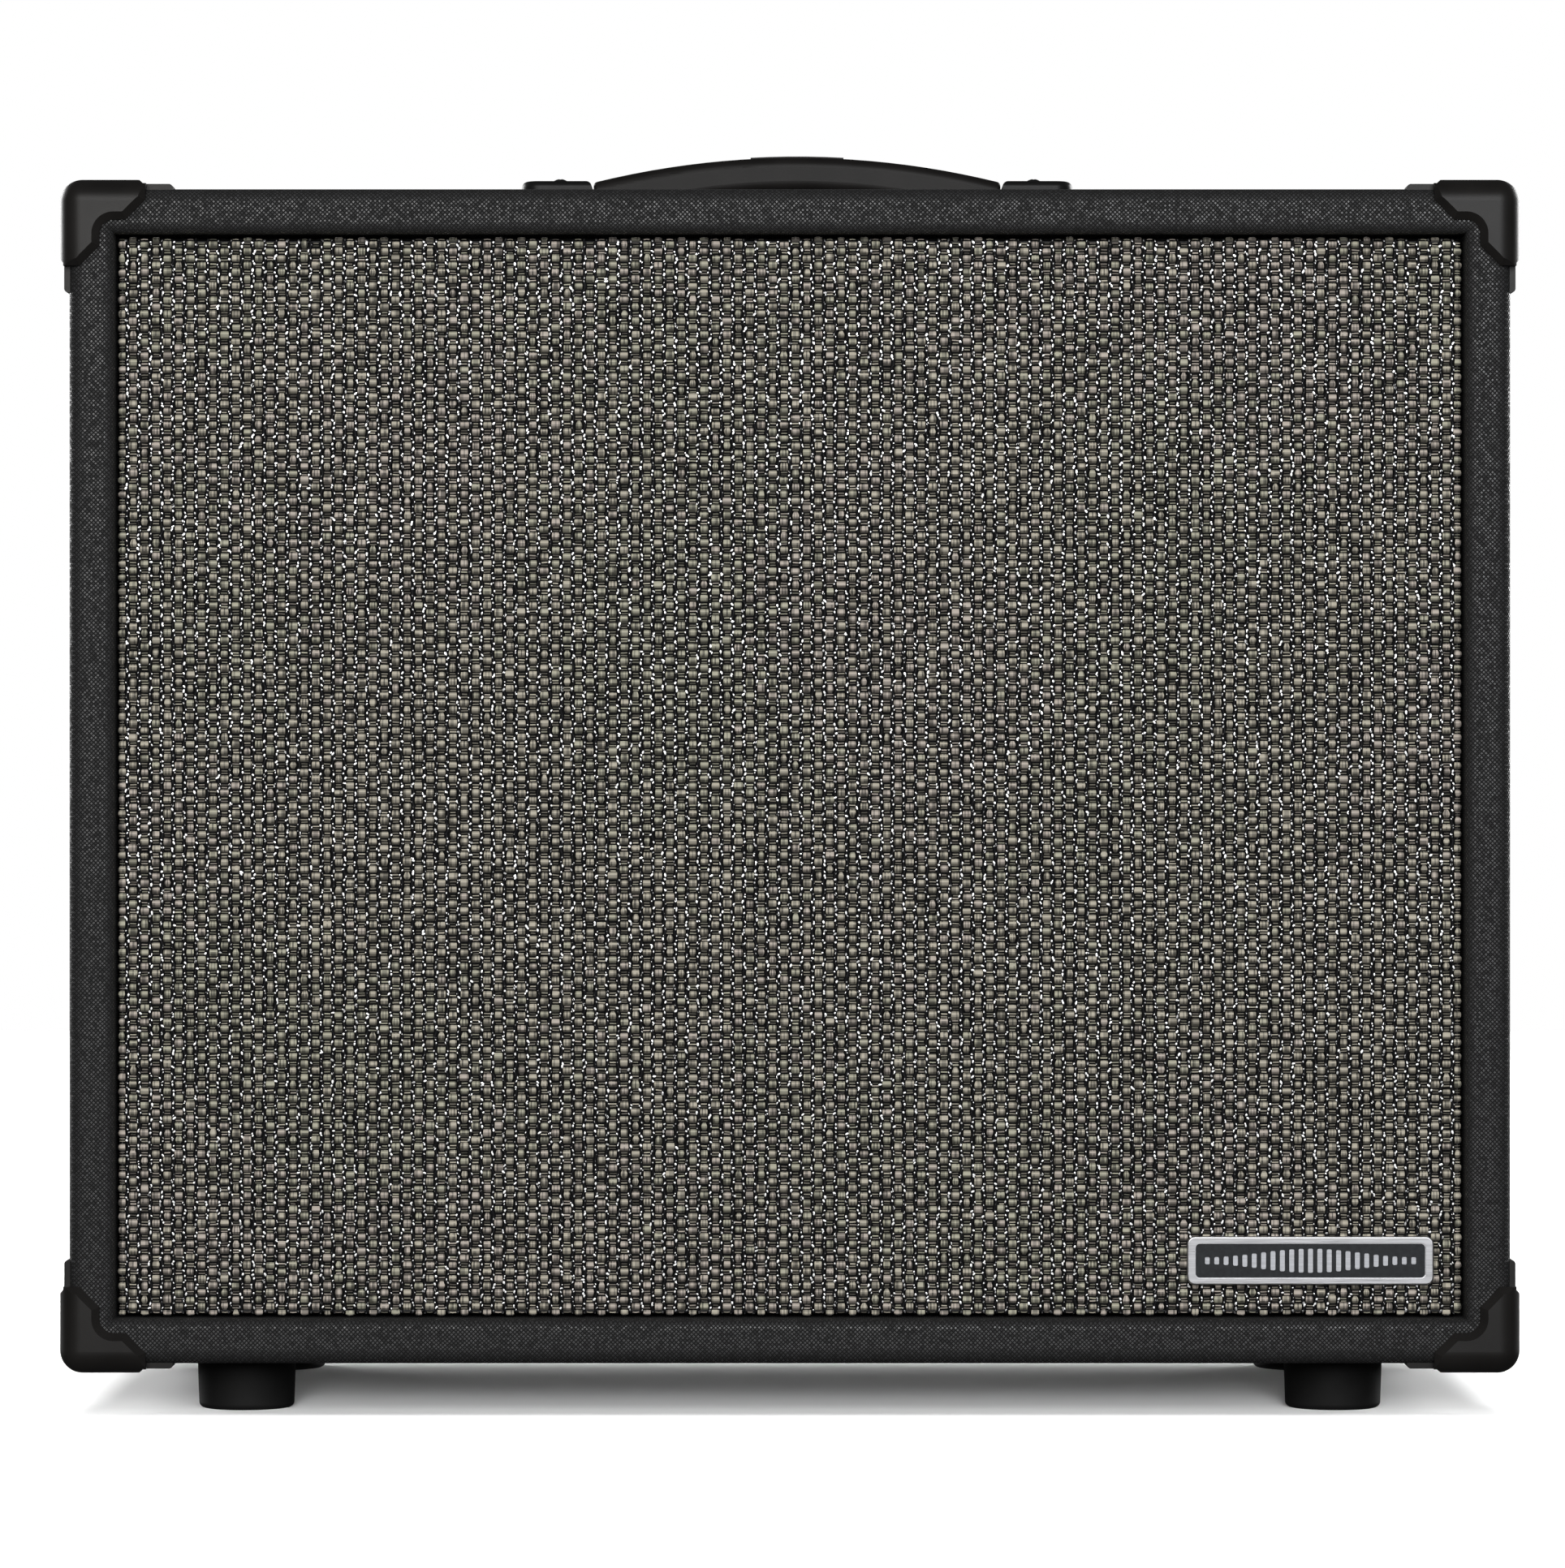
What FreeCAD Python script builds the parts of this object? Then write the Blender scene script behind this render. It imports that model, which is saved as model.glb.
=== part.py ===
"""Powered guitar cabinet for one twelve inch speaker, in millimetres.

The row frame has +X to the player's right when facing the grille, +Y from the grille to the back and
+Z up. Its origin is on the floor, under the middle of the cabinet. Each function below makes one
sub-part, and the last section cuts the screw holes and writes one STEP file for each sub-part.
"""
import FreeCAD
import Part
import math
import os

V = FreeCAD.Vector

# ---------------------------------------------------------------- driving sizes
CASE_W = 549.0            # over the covering, without the corner protectors
CASE_D = 270.0
CASE_H = 447.5
FOOT_H = 20.0
SKIN = 1.0                # covering thickness
BOARD = 15.0              # plywood thickness
LONG_EDGE_R = 8.0         # round on the four edges that run front to back
RIM_R = 6.0               # round on the outer front and back edges
LIP_R = 4.0               # round on the inner front and back edges
RETURN = 45.0             # how far the covering is folded into the case
GUARD = 3.5               # how far a corner protector stands proud

BASE_Z = FOOT_H
TOP_Z = FOOT_H + CASE_H
FRONT_Y = -CASE_D / 2
BACK_Y = CASE_D / 2
HALF_W = CASE_W / 2
WALL = BOARD + 2 * SKIN
IN_X = HALF_W - WALL      # half width of the covered opening
IN_Z0 = BASE_Z + WALL
IN_Z1 = TOP_Z - WALL
FAR = 900.0               # past every part, for cutting tools
TINY = 0.3                # running gap between parts that move past each other

# front stack, from the front edge backwards
GRILLE_RECESS = 9.0
CLOTH_T = 1.0
GRILLE_GAP = 1.6          # shadow gap round the grille
GRILLE_T = 11.0
BAFFLE_Y = FRONT_Y + 25.0
BAFFLE_T = 15.0
BAFFLE_BACK = BAFFLE_Y + BAFFLE_T

# back stack
PANEL_BACK = BACK_Y - 25.0
PANEL_T = 12.0
PANEL_FRONT = PANEL_BACK - PANEL_T
PLATE_T = 2.0
PLATE_BACK = PANEL_BACK + PLATE_T

# speaker
SPK_Z = 232.0
SPK_HOLE_R = 141.0
SPK_FLANGE_R = 155.0
SPK_BOLT_R = 148.5
CONE_TRAVEL = 4.0

# control plate, its cut-out and the chassis behind it
PLATE_X = 202.0
PLATE_Z0, PLATE_Z1 = 311.0, 441.0
CUT_X = 192.0
CUT_Z0, CUT_Z1 = 320.0, 433.0
CHASSIS_X = 188.0
CHASSIS_Z0, CHASSIS_Z1 = 324.0, 429.0
CHASSIS_FRONT = 36.0
SHEET = 1.5

KNOB_Z = 404.0
KNOBS = {"volume_knob": 150.0, "low_cut_knob": 104.0, "high_cut_knob": 58.0, "voicing_knob": 6.0}
KNOB_R = 9.5
KNOB_Y0 = PLATE_BACK + 3.4
KNOB_L = 14.0
SHAFT_R = 3.0
SHAFT_GAP = 0.05
NUT_T = 2.2

JACK_Z = 350.0
COMBO_X = 150.0
XLR_X = 108.0
GROUND_X = 76.0
USB_X = 48.0
JACK_R = 3.25             # a 6.35 mm plug with clearance
JACK_L = 26.0
INLET_X, INLET_Z = -164.0, 376.0
FINS_X = -78.0

GRILLE_WIN_X = 200.0
GRILLE_WIN_Z0, GRILLE_WIN_Z1 = 72.0, 190.0

# handle
HANDLE_X = 3.0
HANDLE_R = 335.0          # arc of the strap's top
HANDLE_HALF = 81.0
HANDLE_CROWN = 22.9
HANDLE_END = 13.2
STRAP_T = 13.5
STRAP_W = 29.0
PAD_HALF = 18.5           # the raised middle of the grip
PAD_T = 0.6
CAP_L = 28.0
CAP_W = 38.0
CAP_H = 13.1
HEAD_R = 4.0              # dome heads of the handle's screws
HEAD_H = 2.2

# feet
FOOT_X, FOOT_Y = 210.0, 90.0
FOOT_TOP_R, FOOT_BOTTOM_R = 19.0, 18.3

BADGE_X, BADGE_Z = 198.5, 59.0
BADGE_W, BADGE_H, BADGE_T = 94.0, 18.5, 2.4


# ---------------------------------------------------------------- helpers
def box(x0, x1, y0, y1, z0, z1):
    return Part.makeBox(x1 - x0, y1 - y0, z1 - z0, V(x0, y0, z0))


def block(centre, size):
    """A box given by its middle and its full sizes."""
    return Part.makeBox(*size, V(*(c - s / 2 for c, s in zip(centre, size))))


def rod_y(x, z, r, y0, y1):
    return Part.makeCylinder(r, y1 - y0, V(x, y0, z), V(0, 1, 0))


def rod_z(x, y, r, z0, z1):
    return Part.makeCylinder(r, z1 - z0, V(x, y, z0), V(0, 0, 1))


def rod_x(y, z, r, x0, x1):
    return Part.makeCylinder(r, x1 - x0, V(x0, y, z), V(1, 0, 0))


def joined(shapes):
    """Several shapes fused to one solid, with leftover seams removed."""
    return shapes[0].fuse(shapes[1:]).removeSplitter()


def group(shapes):
    """Several separate solids as one sub-part."""
    return Part.makeCompound([s for shape in shapes for s in shape.Solids])


def edges_along(shape, axis, test=lambda e: True):
    """The straight edges of a shape that run along x, y or z and pass a test."""
    found = []
    for e in shape.Edges:
        if len(e.Vertexes) != 2 or e.Curve.TypeId != "Part::GeomLine":
            continue
        run = e.Vertexes[1].Point - e.Vertexes[0].Point
        if abs(getattr(run, axis)) > run.Length * 0.999 and test(e):
            found.append(e)
    return found


def edges_on_plane(shape, axis, at):
    """The edges that lie in the plane where the coordinate equals at."""
    low, high = axis.upper() + "Min", axis.upper() + "Max"
    lies = lambda b: abs(getattr(b, low) - at) < 1e-4 and abs(getattr(b, high) - at) < 1e-4
    return [e for e in shape.Edges if lies(e.BoundBox)]


def face_of(points):
    """A flat face from a closed list of points."""
    return Part.Face(Part.makePolygon([V(*p) for p in points + points[:1]]))


def turned_y(profile, x, z):
    """A solid turned about an axis along Y, from (radius, y) points."""
    return face_of([(x + r, y, z) for r, y in profile]).revolve(V(x, 0, z), V(0, 1, 0), 360)


def turned_z(profile, x, y):
    """A solid turned about an axis along Z, from (radius, z) points."""
    return face_of([(x + r, y, z) for r, z in profile]).revolve(V(x, y, 0), V(0, 0, 1), 360)


def around(x, z, r, degrees):
    """The (x, z) of a point at a radius and an angle from a centre."""
    angle = math.radians(degrees)
    return x + r * math.cos(angle), z + r * math.sin(angle)


def mirrored(shape, axis):
    """The shape mirrored through the plane at zero on one axis."""
    normal = V(*(float(a == axis) for a in "xyz"))
    return shape.mirror(V(0, 0, 0), normal)


def pan_screw_y(x, z, y, head_r, shank_r, length, way=1):
    """A pan-head screw along Y whose head stands on the plane y and points out along way."""
    head = rod_y(x, z, head_r, min(y, y + way * 2.2), max(y, y + way * 2.2))
    rim = edges_on_plane(head, "y", y + way * 2.2)
    head = head.makeFillet(1.2, rim)
    slot = block((x, y + way * 2.0, z), (head_r * 1.1, 1.0, 0.9))
    cross = block((x, y + way * 2.0, z), (0.9, 1.0, head_r * 1.1))
    shank = rod_y(x, z, shank_r, min(y, y - way * length), max(y, y - way * length))
    return head.cut([slot, cross]).fuse(shank)


# ---------------------------------------------------------------- case
def outer_case(inset):
    """The filled outer form of the case, set in evenly by inset."""
    body = box(-HALF_W + inset, HALF_W - inset, FRONT_Y + inset, BACK_Y - inset,
               BASE_Z + inset, TOP_Z - inset)
    body = body.makeFillet(LONG_EDGE_R - inset, edges_along(body, "y"))
    for y in (FRONT_Y + inset, BACK_Y - inset):
        body = body.makeFillet(RIM_R - inset, edges_on_plane(body, "y", y))
    return body


def opening_profile(half, inset):
    """The outline of the opening along Y: straight sides that flare round the front and back lips."""
    r = LIP_R - inset
    ymid = FRONT_Y + LIP_R
    a = half + LIP_R
    bow = r * math.sqrt(0.5)
    right_front = [V(a, FRONT_Y + inset, 0), V(a - bow, ymid - bow, 0), V(a - r, ymid, 0)]
    flip = lambda p: V(p.x, -p.y, 0)
    mirror_x = lambda p: V(-p.x, p.y, 0)
    right_back = [flip(p) for p in reversed(right_front)]
    left_back = [mirror_x(p) for p in reversed(right_back)]
    left_front = [mirror_x(p) for p in reversed(right_front)]
    edges = []
    arcs = [right_front, right_back, left_back, left_front]
    ends = [right_front[2], right_back[0], right_back[2], V(a, 60 + BACK_Y, 0), V(-a, 60 + BACK_Y, 0),
            left_back[0], left_back[2], left_front[0], left_front[2], V(-a, FRONT_Y - 60, 0),
            V(a, FRONT_Y - 60, 0), right_front[0]]
    for arc in arcs:
        edges.append(Part.Arc(*arc).toShape())
    for p, q in zip(ends[::2], ends[1::2]):
        edges.append(Part.makeLine(p, q))
    edges.append(Part.makeLine(ends[3], ends[4]))
    edges.append(Part.makeLine(ends[9], ends[10]))
    edges = [e for e in edges if e.Length > 1e-6]
    return Part.Face(Part.Wire(Part.__sortEdges__(edges)))


def flared_opening(inset):
    """The cutter for the opening right through the case. Inset 0 is the covered opening."""
    across = opening_profile(IN_X, inset)
    upright = opening_profile((IN_Z1 - IN_Z0) / 2, inset)
    wide = across.extrude(V(0, 0, FAR))
    wide.translate(V(0, 0, -FAR / 2 + (IN_Z0 + IN_Z1) / 2))
    tall = upright.extrude(V(0, 0, FAR))
    tall.translate(V(0, 0, -FAR / 2))
    tall.rotate(V(0, 0, 0), V(0, 1, 0), 90)
    tall.translate(V(0, 0, (IN_Z0 + IN_Z1) / 2))
    return wide.common(tall)


def boards():
    """Four plywood boards with finger joints at the corners."""
    tube = outer_case(SKIN).cut(flared_opening(SKIN))
    x_in = IN_X + SKIN
    z_low, z_high = IN_Z0 - SKIN, IN_Z1 + SKIN
    top = tube.common(box(-FAR, FAR, -FAR, FAR, z_high, FAR))
    bottom = tube.common(box(-FAR, FAR, -FAR, FAR, -FAR, z_low))
    sides = {s: tube.common(box(min(s * x_in, s * FAR), max(s * x_in, s * FAR), -FAR, FAR, z_low, z_high))
             for s in (-1, 1)}
    fingers = 9
    pitch = CASE_D / fingers
    slices = [box(-FAR, FAR, FRONT_Y + i * pitch, FRONT_Y + (i + 1) * pitch, -FAR, FAR)
              for i in range(1, fingers, 2)]
    for s in (-1, 1):
        for z0, z1, is_top in ((z_high, FAR, True), (-FAR, z_low, False)):
            zone = box(min(s * x_in, s * FAR), max(s * x_in, s * FAR), -FAR, FAR, z0, z1)
            combs = [zone.common(part) for part in slices]
            taken = [tube.common(comb) for comb in combs]
            sides[s] = sides[s].fuse(taken).removeSplitter()
            if is_top:
                top = top.cut(taken)
            else:
                bottom = bottom.cut(taken)
    return {"top_board": top, "bottom_board": bottom, "left_side_board": sides[-1],
            "right_side_board": sides[1]}


def covering():
    """The vinyl covering: a skin outside, round both rims and folded into the opening."""
    tube = outer_case(0).cut(flared_opening(0))
    wood = outer_case(SKIN).cut(flared_opening(SKIN))
    bare = box(-IN_X - SKIN, IN_X + SKIN, FRONT_Y + RETURN, BACK_Y - RETURN, IN_Z0 - SKIN, IN_Z1 + SKIN)
    return tube.cut([wood, bare])


def battens():
    """Cleats inside the case that the baffle and the back panel are screwed to."""
    side = 16.0
    made = []
    for y0, y1 in ((BAFFLE_BACK, BAFFLE_BACK + side), (PANEL_FRONT - side, PANEL_FRONT)):
        made.append(box(-IN_X, -IN_X + side, y0, y1, IN_Z0, IN_Z1))
        made.append(box(IN_X - side, IN_X, y0, y1, IN_Z0, IN_Z1))
        made.append(box(-IN_X + side, IN_X - side, y0, y1, IN_Z0, IN_Z0 + side))
        made.append(box(-IN_X + side, IN_X - side, y0, y1, IN_Z1 - side, IN_Z1))
    return group(made)


def baffle_board():
    gap = 0.5
    board = box(-IN_X + gap, IN_X - gap, BAFFLE_Y, BAFFLE_BACK, IN_Z0 + gap, IN_Z1 - gap)
    board = board.cut(rod_y(0, SPK_Z, SPK_HOLE_R, BAFFLE_Y - 1, BAFFLE_BACK + 1))
    holes = [rod_y(x, z, 2.0, BAFFLE_Y + 3, BAFFLE_BACK + 1) for x, z in speaker_bolts()]
    return board.cut(holes)


# ---------------------------------------------------------------- grille
def grille_cloth():
    """The woven cloth: a flat front, and four turned edges that wrap the sides of its frame."""
    front = FRONT_Y + GRILLE_RECESS
    back = front + CLOTH_T + GRILLE_T
    half = IN_X - GRILLE_GAP
    z0, z1 = IN_Z0 + GRILLE_GAP, IN_Z1 - GRILLE_GAP
    turned = [
        box(-half, half, front + CLOTH_T, back, z0, z0 + CLOTH_T),
        box(-half, half, front + CLOTH_T, back, z1 - CLOTH_T, z1),
        box(-half, -half + CLOTH_T, front + CLOTH_T, back, z0 + CLOTH_T, z1 - CLOTH_T),
        box(half - CLOTH_T, half, front + CLOTH_T, back, z0 + CLOTH_T, z1 - CLOTH_T),
    ]
    return group([box(-half, half, front, front + CLOTH_T, z0, z1)] + turned)


def grille_frame():
    """Four stiles and rails and one middle stile, which the cloth is stretched over."""
    y0 = FRONT_Y + GRILLE_RECESS + CLOTH_T
    y1 = y0 + GRILLE_T
    rail = 30.0
    half = IN_X - GRILLE_GAP - CLOTH_T
    z0, z1 = IN_Z0 + GRILLE_GAP + CLOTH_T, IN_Z1 - GRILLE_GAP - CLOTH_T
    return group([
        box(-half, half, y0, y1, z0, z0 + rail),
        box(-half, half, y0, y1, z1 - rail, z1),
        box(-half, -half + rail, y0, y1, z0 + rail, z1 - rail),
        box(half - rail, half, y0, y1, z0 + rail, z1 - rail),
    ])


def badge():
    """A plain plate with a sunk field, held by two studs through the cloth into the frame's bottom rail."""
    y1 = FRONT_Y + GRILLE_RECESS
    plate = block((BADGE_X, y1 - BADGE_T / 2, BADGE_Z), (BADGE_W, BADGE_T, BADGE_H))
    plate = plate.makeFillet(3.0, edges_along(plate, "y"))
    plate = plate.makeFillet(0.6, edges_on_plane(plate, "y", y1 - BADGE_T))
    field = block((BADGE_X, y1 - BADGE_T, BADGE_Z), (BADGE_W - 6.0, 1.6, BADGE_H - 5.0))
    field = field.makeFillet(1.8, edges_along(field, "y"))
    studs = [rod_y(BADGE_X + s * 30, BADGE_Z, 1.2, y1 - 0.5, y1 + 6.0) for s in (-1, 1)]
    return joined([plate.cut(field)] + studs)


# ---------------------------------------------------------------- corner protectors
GUARD_ARM = 33.0          # reach of the thick step along each edge
GUARD_TIP = 8.0           # height of the arm's blunt end
GUARD_WAIST = 15.5        # width of the arm near the corner
GUARD_ROUND = 5.5         # round in the step's inner corner
GUARD_BEVEL = 2.8
GUARD_LOBE = 43.0         # reach of the thin screwed lobe
LOBE_T = 1.9
LOBE_R = 24.0


def step_wire(inset, level):
    """The stepped L of a protector's leaf, in the plane w = level, set in by inset along its inner side."""
    arm = GUARD_ARM - inset
    tip = GUARD_TIP - inset * 0.42
    waist = GUARD_WAIST - inset
    slant = arm - (waist - tip)
    mid = GUARD_WAIST + GUARD_ROUND
    r = GUARD_ROUND + inset
    bow = mid - r * math.sqrt(0.5)
    p = lambda u, v: V(u, v, level)
    line = Part.makeLine
    edges = [
        line(p(0, 0), p(arm, 0)), line(p(arm, 0), p(arm, tip)), line(p(arm, tip), p(slant, waist)),
        line(p(slant, waist), p(mid, waist)),
        Part.Arc(p(mid, waist), p(bow, bow), p(waist, mid)).toShape(),
        line(p(waist, mid), p(waist, slant)), line(p(waist, slant), p(tip, arm)),
        line(p(tip, arm), p(0, arm)), line(p(0, arm), p(0, 0)),
    ]
    return Part.Wire(edges)


def step_leaf(depth):
    """A stepped leaf: u and v run in from the outer corner, w from the outermost face to depth."""
    bevel = Part.makeLoft([step_wire(GUARD_BEVEL, 0), step_wire(0, GUARD - 0.9)], True, True)
    base = Part.Face(step_wire(0, GUARD - 0.9)).extrude(V(0, 0, depth - GUARD + 0.9))
    return bevel.fuse(base)


def lobe_leaf(depth):
    """The thin part of a leaf that carries a screw, with a rounded far corner."""
    plate = box(0, GUARD_LOBE, 0, GUARD_LOBE, GUARD - LOBE_T, depth)
    far = edges_along(plate, "z", lambda e: e.BoundBox.XMin > 1 and e.BoundBox.YMin > 1)
    plate = plate.makeFillet(LOBE_R, far)
    rim = [e for e in edges_on_plane(plate, "z", GUARD - LOBE_T)
           if e.BoundBox.XMax > 1 and e.BoundBox.YMax > 1]
    return plate.makeFillet(1.6, rim)


LOBE_SCREW = 29.0         # place of the screw on a lobe, from both outer faces


def corner_guard():
    """The protector of the corner at high x, low y and high z."""
    depth = GUARD + 9.0
    leaves, waste = [], []
    front = step_leaf(depth)
    top = joined([step_leaf(depth), lobe_leaf(depth)])
    # Each leaf's own shape holds from its outermost face to just under the case's face, so that the
    # neighbouring leaves don't fill its steps and bevels.
    slab = box(-1, 80, -1, 80, -1, GUARD + 4.0)
    # u runs to low x. A front leaf's v runs down and its w back; a top leaf's v runs back and its w down.
    to_front = FreeCAD.Matrix(-1, 0, 0, 0, 0, 0, 1, 0, 0, -1, 0, 0, 0, 0, 0, 1)
    to_top = FreeCAD.Matrix(-1, 0, 0, 0, 0, 1, 0, 0, 0, 0, -1, 0, 0, 0, 0, 1)
    to_side = FreeCAD.Matrix(0, 0, -1, 0, 0, 1, 0, 0, -1, 0, 0, 0, 0, 0, 0, 1)
    for leaf, matrix in ((front, to_front), (top, to_top), (top, to_side)):
        leaves.append(leaf.transformGeometry(matrix))
        waste.append(slab.cut(leaf).transformGeometry(matrix))
    guard = leaves[0].fuse(leaves[1:]).cut(waste)
    tip = V(HALF_W + GUARD, FRONT_Y - GUARD, TOP_Z + GUARD)
    guard.translate(tip)
    hull = box(tip.x - 70, tip.x, tip.y, tip.y + 70, tip.z - 70, tip.z)
    near = [e for e in hull.Edges if any((v.Point - tip).Length < 1e-6 for v in e.Vertexes)]
    hull = hull.makeFillet(8.6, near)
    return guard.common(hull).cut(outer_case(0))


def corner_screw_places():
    """The (point, outward direction) of each lobe screw of the corner at high x, low y, high z."""
    x, y, z = HALF_W + GUARD - LOBE_SCREW, FRONT_Y - GUARD + LOBE_SCREW, TOP_Z + GUARD - LOBE_SCREW
    return [((x, y, TOP_Z + LOBE_T), "z"), ((HALF_W + LOBE_T, y, z), "x")]


def wood_screw(point, axis):
    """A dome-head wood screw that stands on point and drives in against the axis."""
    head_r, head_h, shank_r, length = 3.6, 1.5, 1.7, 13.0
    x, y, z = point
    ball = (head_r ** 2 + head_h ** 2) / (2 * head_h)
    dome = Part.makeSphere(ball, V(0, 0, head_h - ball))
    head = dome.common(rod_z(0, 0, head_r + 1, 0, head_h + 1))
    recess = [block((0, 0, head_h), (3.4, 0.8, 1.2)), block((0, 0, head_h), (0.8, 3.4, 1.2))]
    screw = head.cut(recess).fuse(rod_z(0, 0, shank_r, -length, 0))
    if axis == "x":
        screw.rotate(V(0, 0, 0), V(0, 1, 0), 90)
    screw.translate(V(x, y, z))
    return screw


def all_corners():
    """Eight protectors and their sixteen screws, by mirroring one."""
    first = corner_guard()
    screws = [wood_screw(p, a) for p, a in corner_screw_places()]
    first = first.cut([Part.makeCylinder(1.7, 20, V(*p) - V(*(10 * (a == c) for c in "xyz")),
                                         V(*(float(a == c) for c in "xyz")))
                       for p, a in corner_screw_places()])
    middle = (BASE_Z + TOP_Z) / 2
    guards, heads = {}, []
    for lr, flip_x in (("right", False), ("left", True)):
        for fb, flip_y in (("front", False), ("back", True)):
            for tb, flip_z in (("top", False), ("bottom", True)):
                shapes = [first] + screws
                if flip_x:
                    shapes = [mirrored(s, "x") for s in shapes]
                if flip_y:
                    shapes = [mirrored(s, "y") for s in shapes]
                if flip_z:
                    shapes = [s.mirror(V(0, 0, middle), V(0, 0, 1)) for s in shapes]
                guards[f"corner_{fb}_{tb}_{lr}"] = shapes[0]
                heads += shapes[1:]
    return guards, group(heads)


# ---------------------------------------------------------------- handle
def strap_arc(radius_offset, x):
    """Height over the case top of the strap's top arc, moved down by radius_offset, at x from its middle."""
    r = HANDLE_R - radius_offset
    return HANDLE_CROWN - HANDLE_R + math.sqrt(r * r - x * x)


def strap():
    """The moulded grip with its flat end tongues, which lie inside the caps."""
    half = HANDLE_HALF
    under = STRAP_T
    toe = 2.2                       # lowest point of the grip over the case
    x_low = 62.0                    # where the underside arch meets the toe
    arc = lambda offset, x0, x1: Part.Arc(
        V(x0, 0, strap_arc(offset, x0)), V((x0 + x1) / 2, 0, strap_arc(offset, (x0 + x1) / 2)),
        V(x1, 0, strap_arc(offset, x1))).toShape()
    peak = strap_arc(under, 0)
    belly = Part.Arc(V(x_low, 0, toe), V(0, 0, peak), V(-x_low, 0, toe)).toShape()
    line = lambda a, b: Part.makeLine(V(a[0], 0, a[1]), V(b[0], 0, b[1]))
    end_top = strap_arc(0, half)
    edges = [
        arc(0, -half, half), line((half, end_top), (half, toe)), line((half, toe), (x_low, toe)), belly,
        line((-x_low, toe), (-half, toe)), line((-half, toe), (-half, end_top)),
    ]
    face = Part.Face(Part.Wire(Part.__sortEdges__(edges)))
    grip = face.extrude(V(0, STRAP_W, 0))
    grip.translate(V(0, -STRAP_W / 2, 0))
    long_edges = [e for e in grip.Edges if e.BoundBox.XLength > 60]
    grip = grip.makeFillet(4.0, long_edges)
    crest = [e for e in grip.Edges if abs(e.BoundBox.XMin) > half - 0.01 and abs(e.BoundBox.XMax) > half - 0.01
             and e.BoundBox.ZMin > end_top - 0.5]
    grip = grip.makeFillet(1.8, crest)
    top = strap_arc(-PAD_T, PAD_HALF)
    pad_edges = [
        arc(-PAD_T, -PAD_HALF, PAD_HALF), line((PAD_HALF, top), (PAD_HALF, 15)),
        line((PAD_HALF, 15), (-PAD_HALF, 15)), line((-PAD_HALF, 15), (-PAD_HALF, top)),
    ]
    pad = Part.Face(Part.Wire(Part.__sortEdges__(pad_edges))).extrude(V(0, STRAP_W - 10, 0))
    pad.translate(V(0, -(STRAP_W - 10) / 2, 0))
    tongues = []
    for s in (-1, 1):
        a, b = s * (half - 1), s * (half + CAP_L - 4.5)
        tongue = box(min(a, b), max(a, b), -11, 11, toe, toe + 2.6)
        slot = box(min(s * 88.0, s * 101.0), max(s * 88.0, s * 101.0), -3.4, 3.4, 0, 10)
        tongues.append(tongue.cut(slot))
    whole = joined([grip, pad] + tongues)
    whole.translate(V(HANDLE_X, 0, TOP_Z))
    return whole


def handle_cap(s):
    """One end cap: a hollow moulding over the tongue, with a post that its screw goes through."""
    x0, x1 = HANDLE_HALF + 0.6, HANDLE_HALF + 0.6 + CAP_L
    cap = box(x0, x1, -CAP_W / 2, CAP_W / 2, 0, CAP_H)
    far = edges_along(cap, "z", lambda e: e.BoundBox.XMin > (x0 + x1) / 2)
    cap = cap.makeFillet(7.0, far)
    rim = [e for e in edges_on_plane(cap, "z", CAP_H)]
    cap = cap.makeFillet(2.6, rim)
    room = box(x0 - 1, x1 - 3.0, -12, 12, -1, CAP_H - 2.4)
    post = rod_z(x0 + 13.0, 0, 3.0, 0, CAP_H - 1)
    cap = joined([cap.cut(room), post])
    cap = cap.cut(rod_z(x0 + 13.0, 0, 2.0, -1, CAP_H + 1))
    if s < 0:
        cap = mirrored(cap, "x")
    cap.translate(V(HANDLE_X, 0, TOP_Z))
    return cap


def handle_screws():
    made = []
    for s in (-1, 1):
        x = HANDLE_X + s * (HANDLE_HALF + 0.6 + 13.0)
        z = TOP_Z + CAP_H
        ball = (HEAD_R ** 2 + HEAD_H ** 2) / (2 * HEAD_H)
        head = Part.makeSphere(ball, V(x, 0, z + HEAD_H - ball)).common(rod_z(x, 0, HEAD_R + 1, z, z + 9))
        recess = [block((x, 0, z + HEAD_H), (3.0, 0.8, 0.9)), block((x, 0, z + HEAD_H), (0.8, 3.0, 0.9))]
        shank = rod_z(x, 0, 2.0, TOP_Z - 24, z)
        made.append(head.cut(recess).fuse(shank))
        nut = rod_z(x, 0, 5.5, TOP_Z - 16 - 3.5, TOP_Z - 16).cut(rod_z(x, 0, 2.0, TOP_Z - 40, TOP_Z))
        made.append(nut)
    return group(made)


# ---------------------------------------------------------------- feet
def foot(sx, sy):
    x, y = sx * FOOT_X, sy * FOOT_Y
    body = Part.makeCone(FOOT_BOTTOM_R, FOOT_TOP_R, FOOT_H, V(x, y, 0), V(0, 0, 1))
    body = body.makeFillet(2.2, edges_on_plane(body, "z", 0))
    well = rod_z(x, y, 7.5, -1, 13.0)
    return body.cut([well, rod_z(x, y, 2.4, 0, FOOT_H + 1)])


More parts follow.
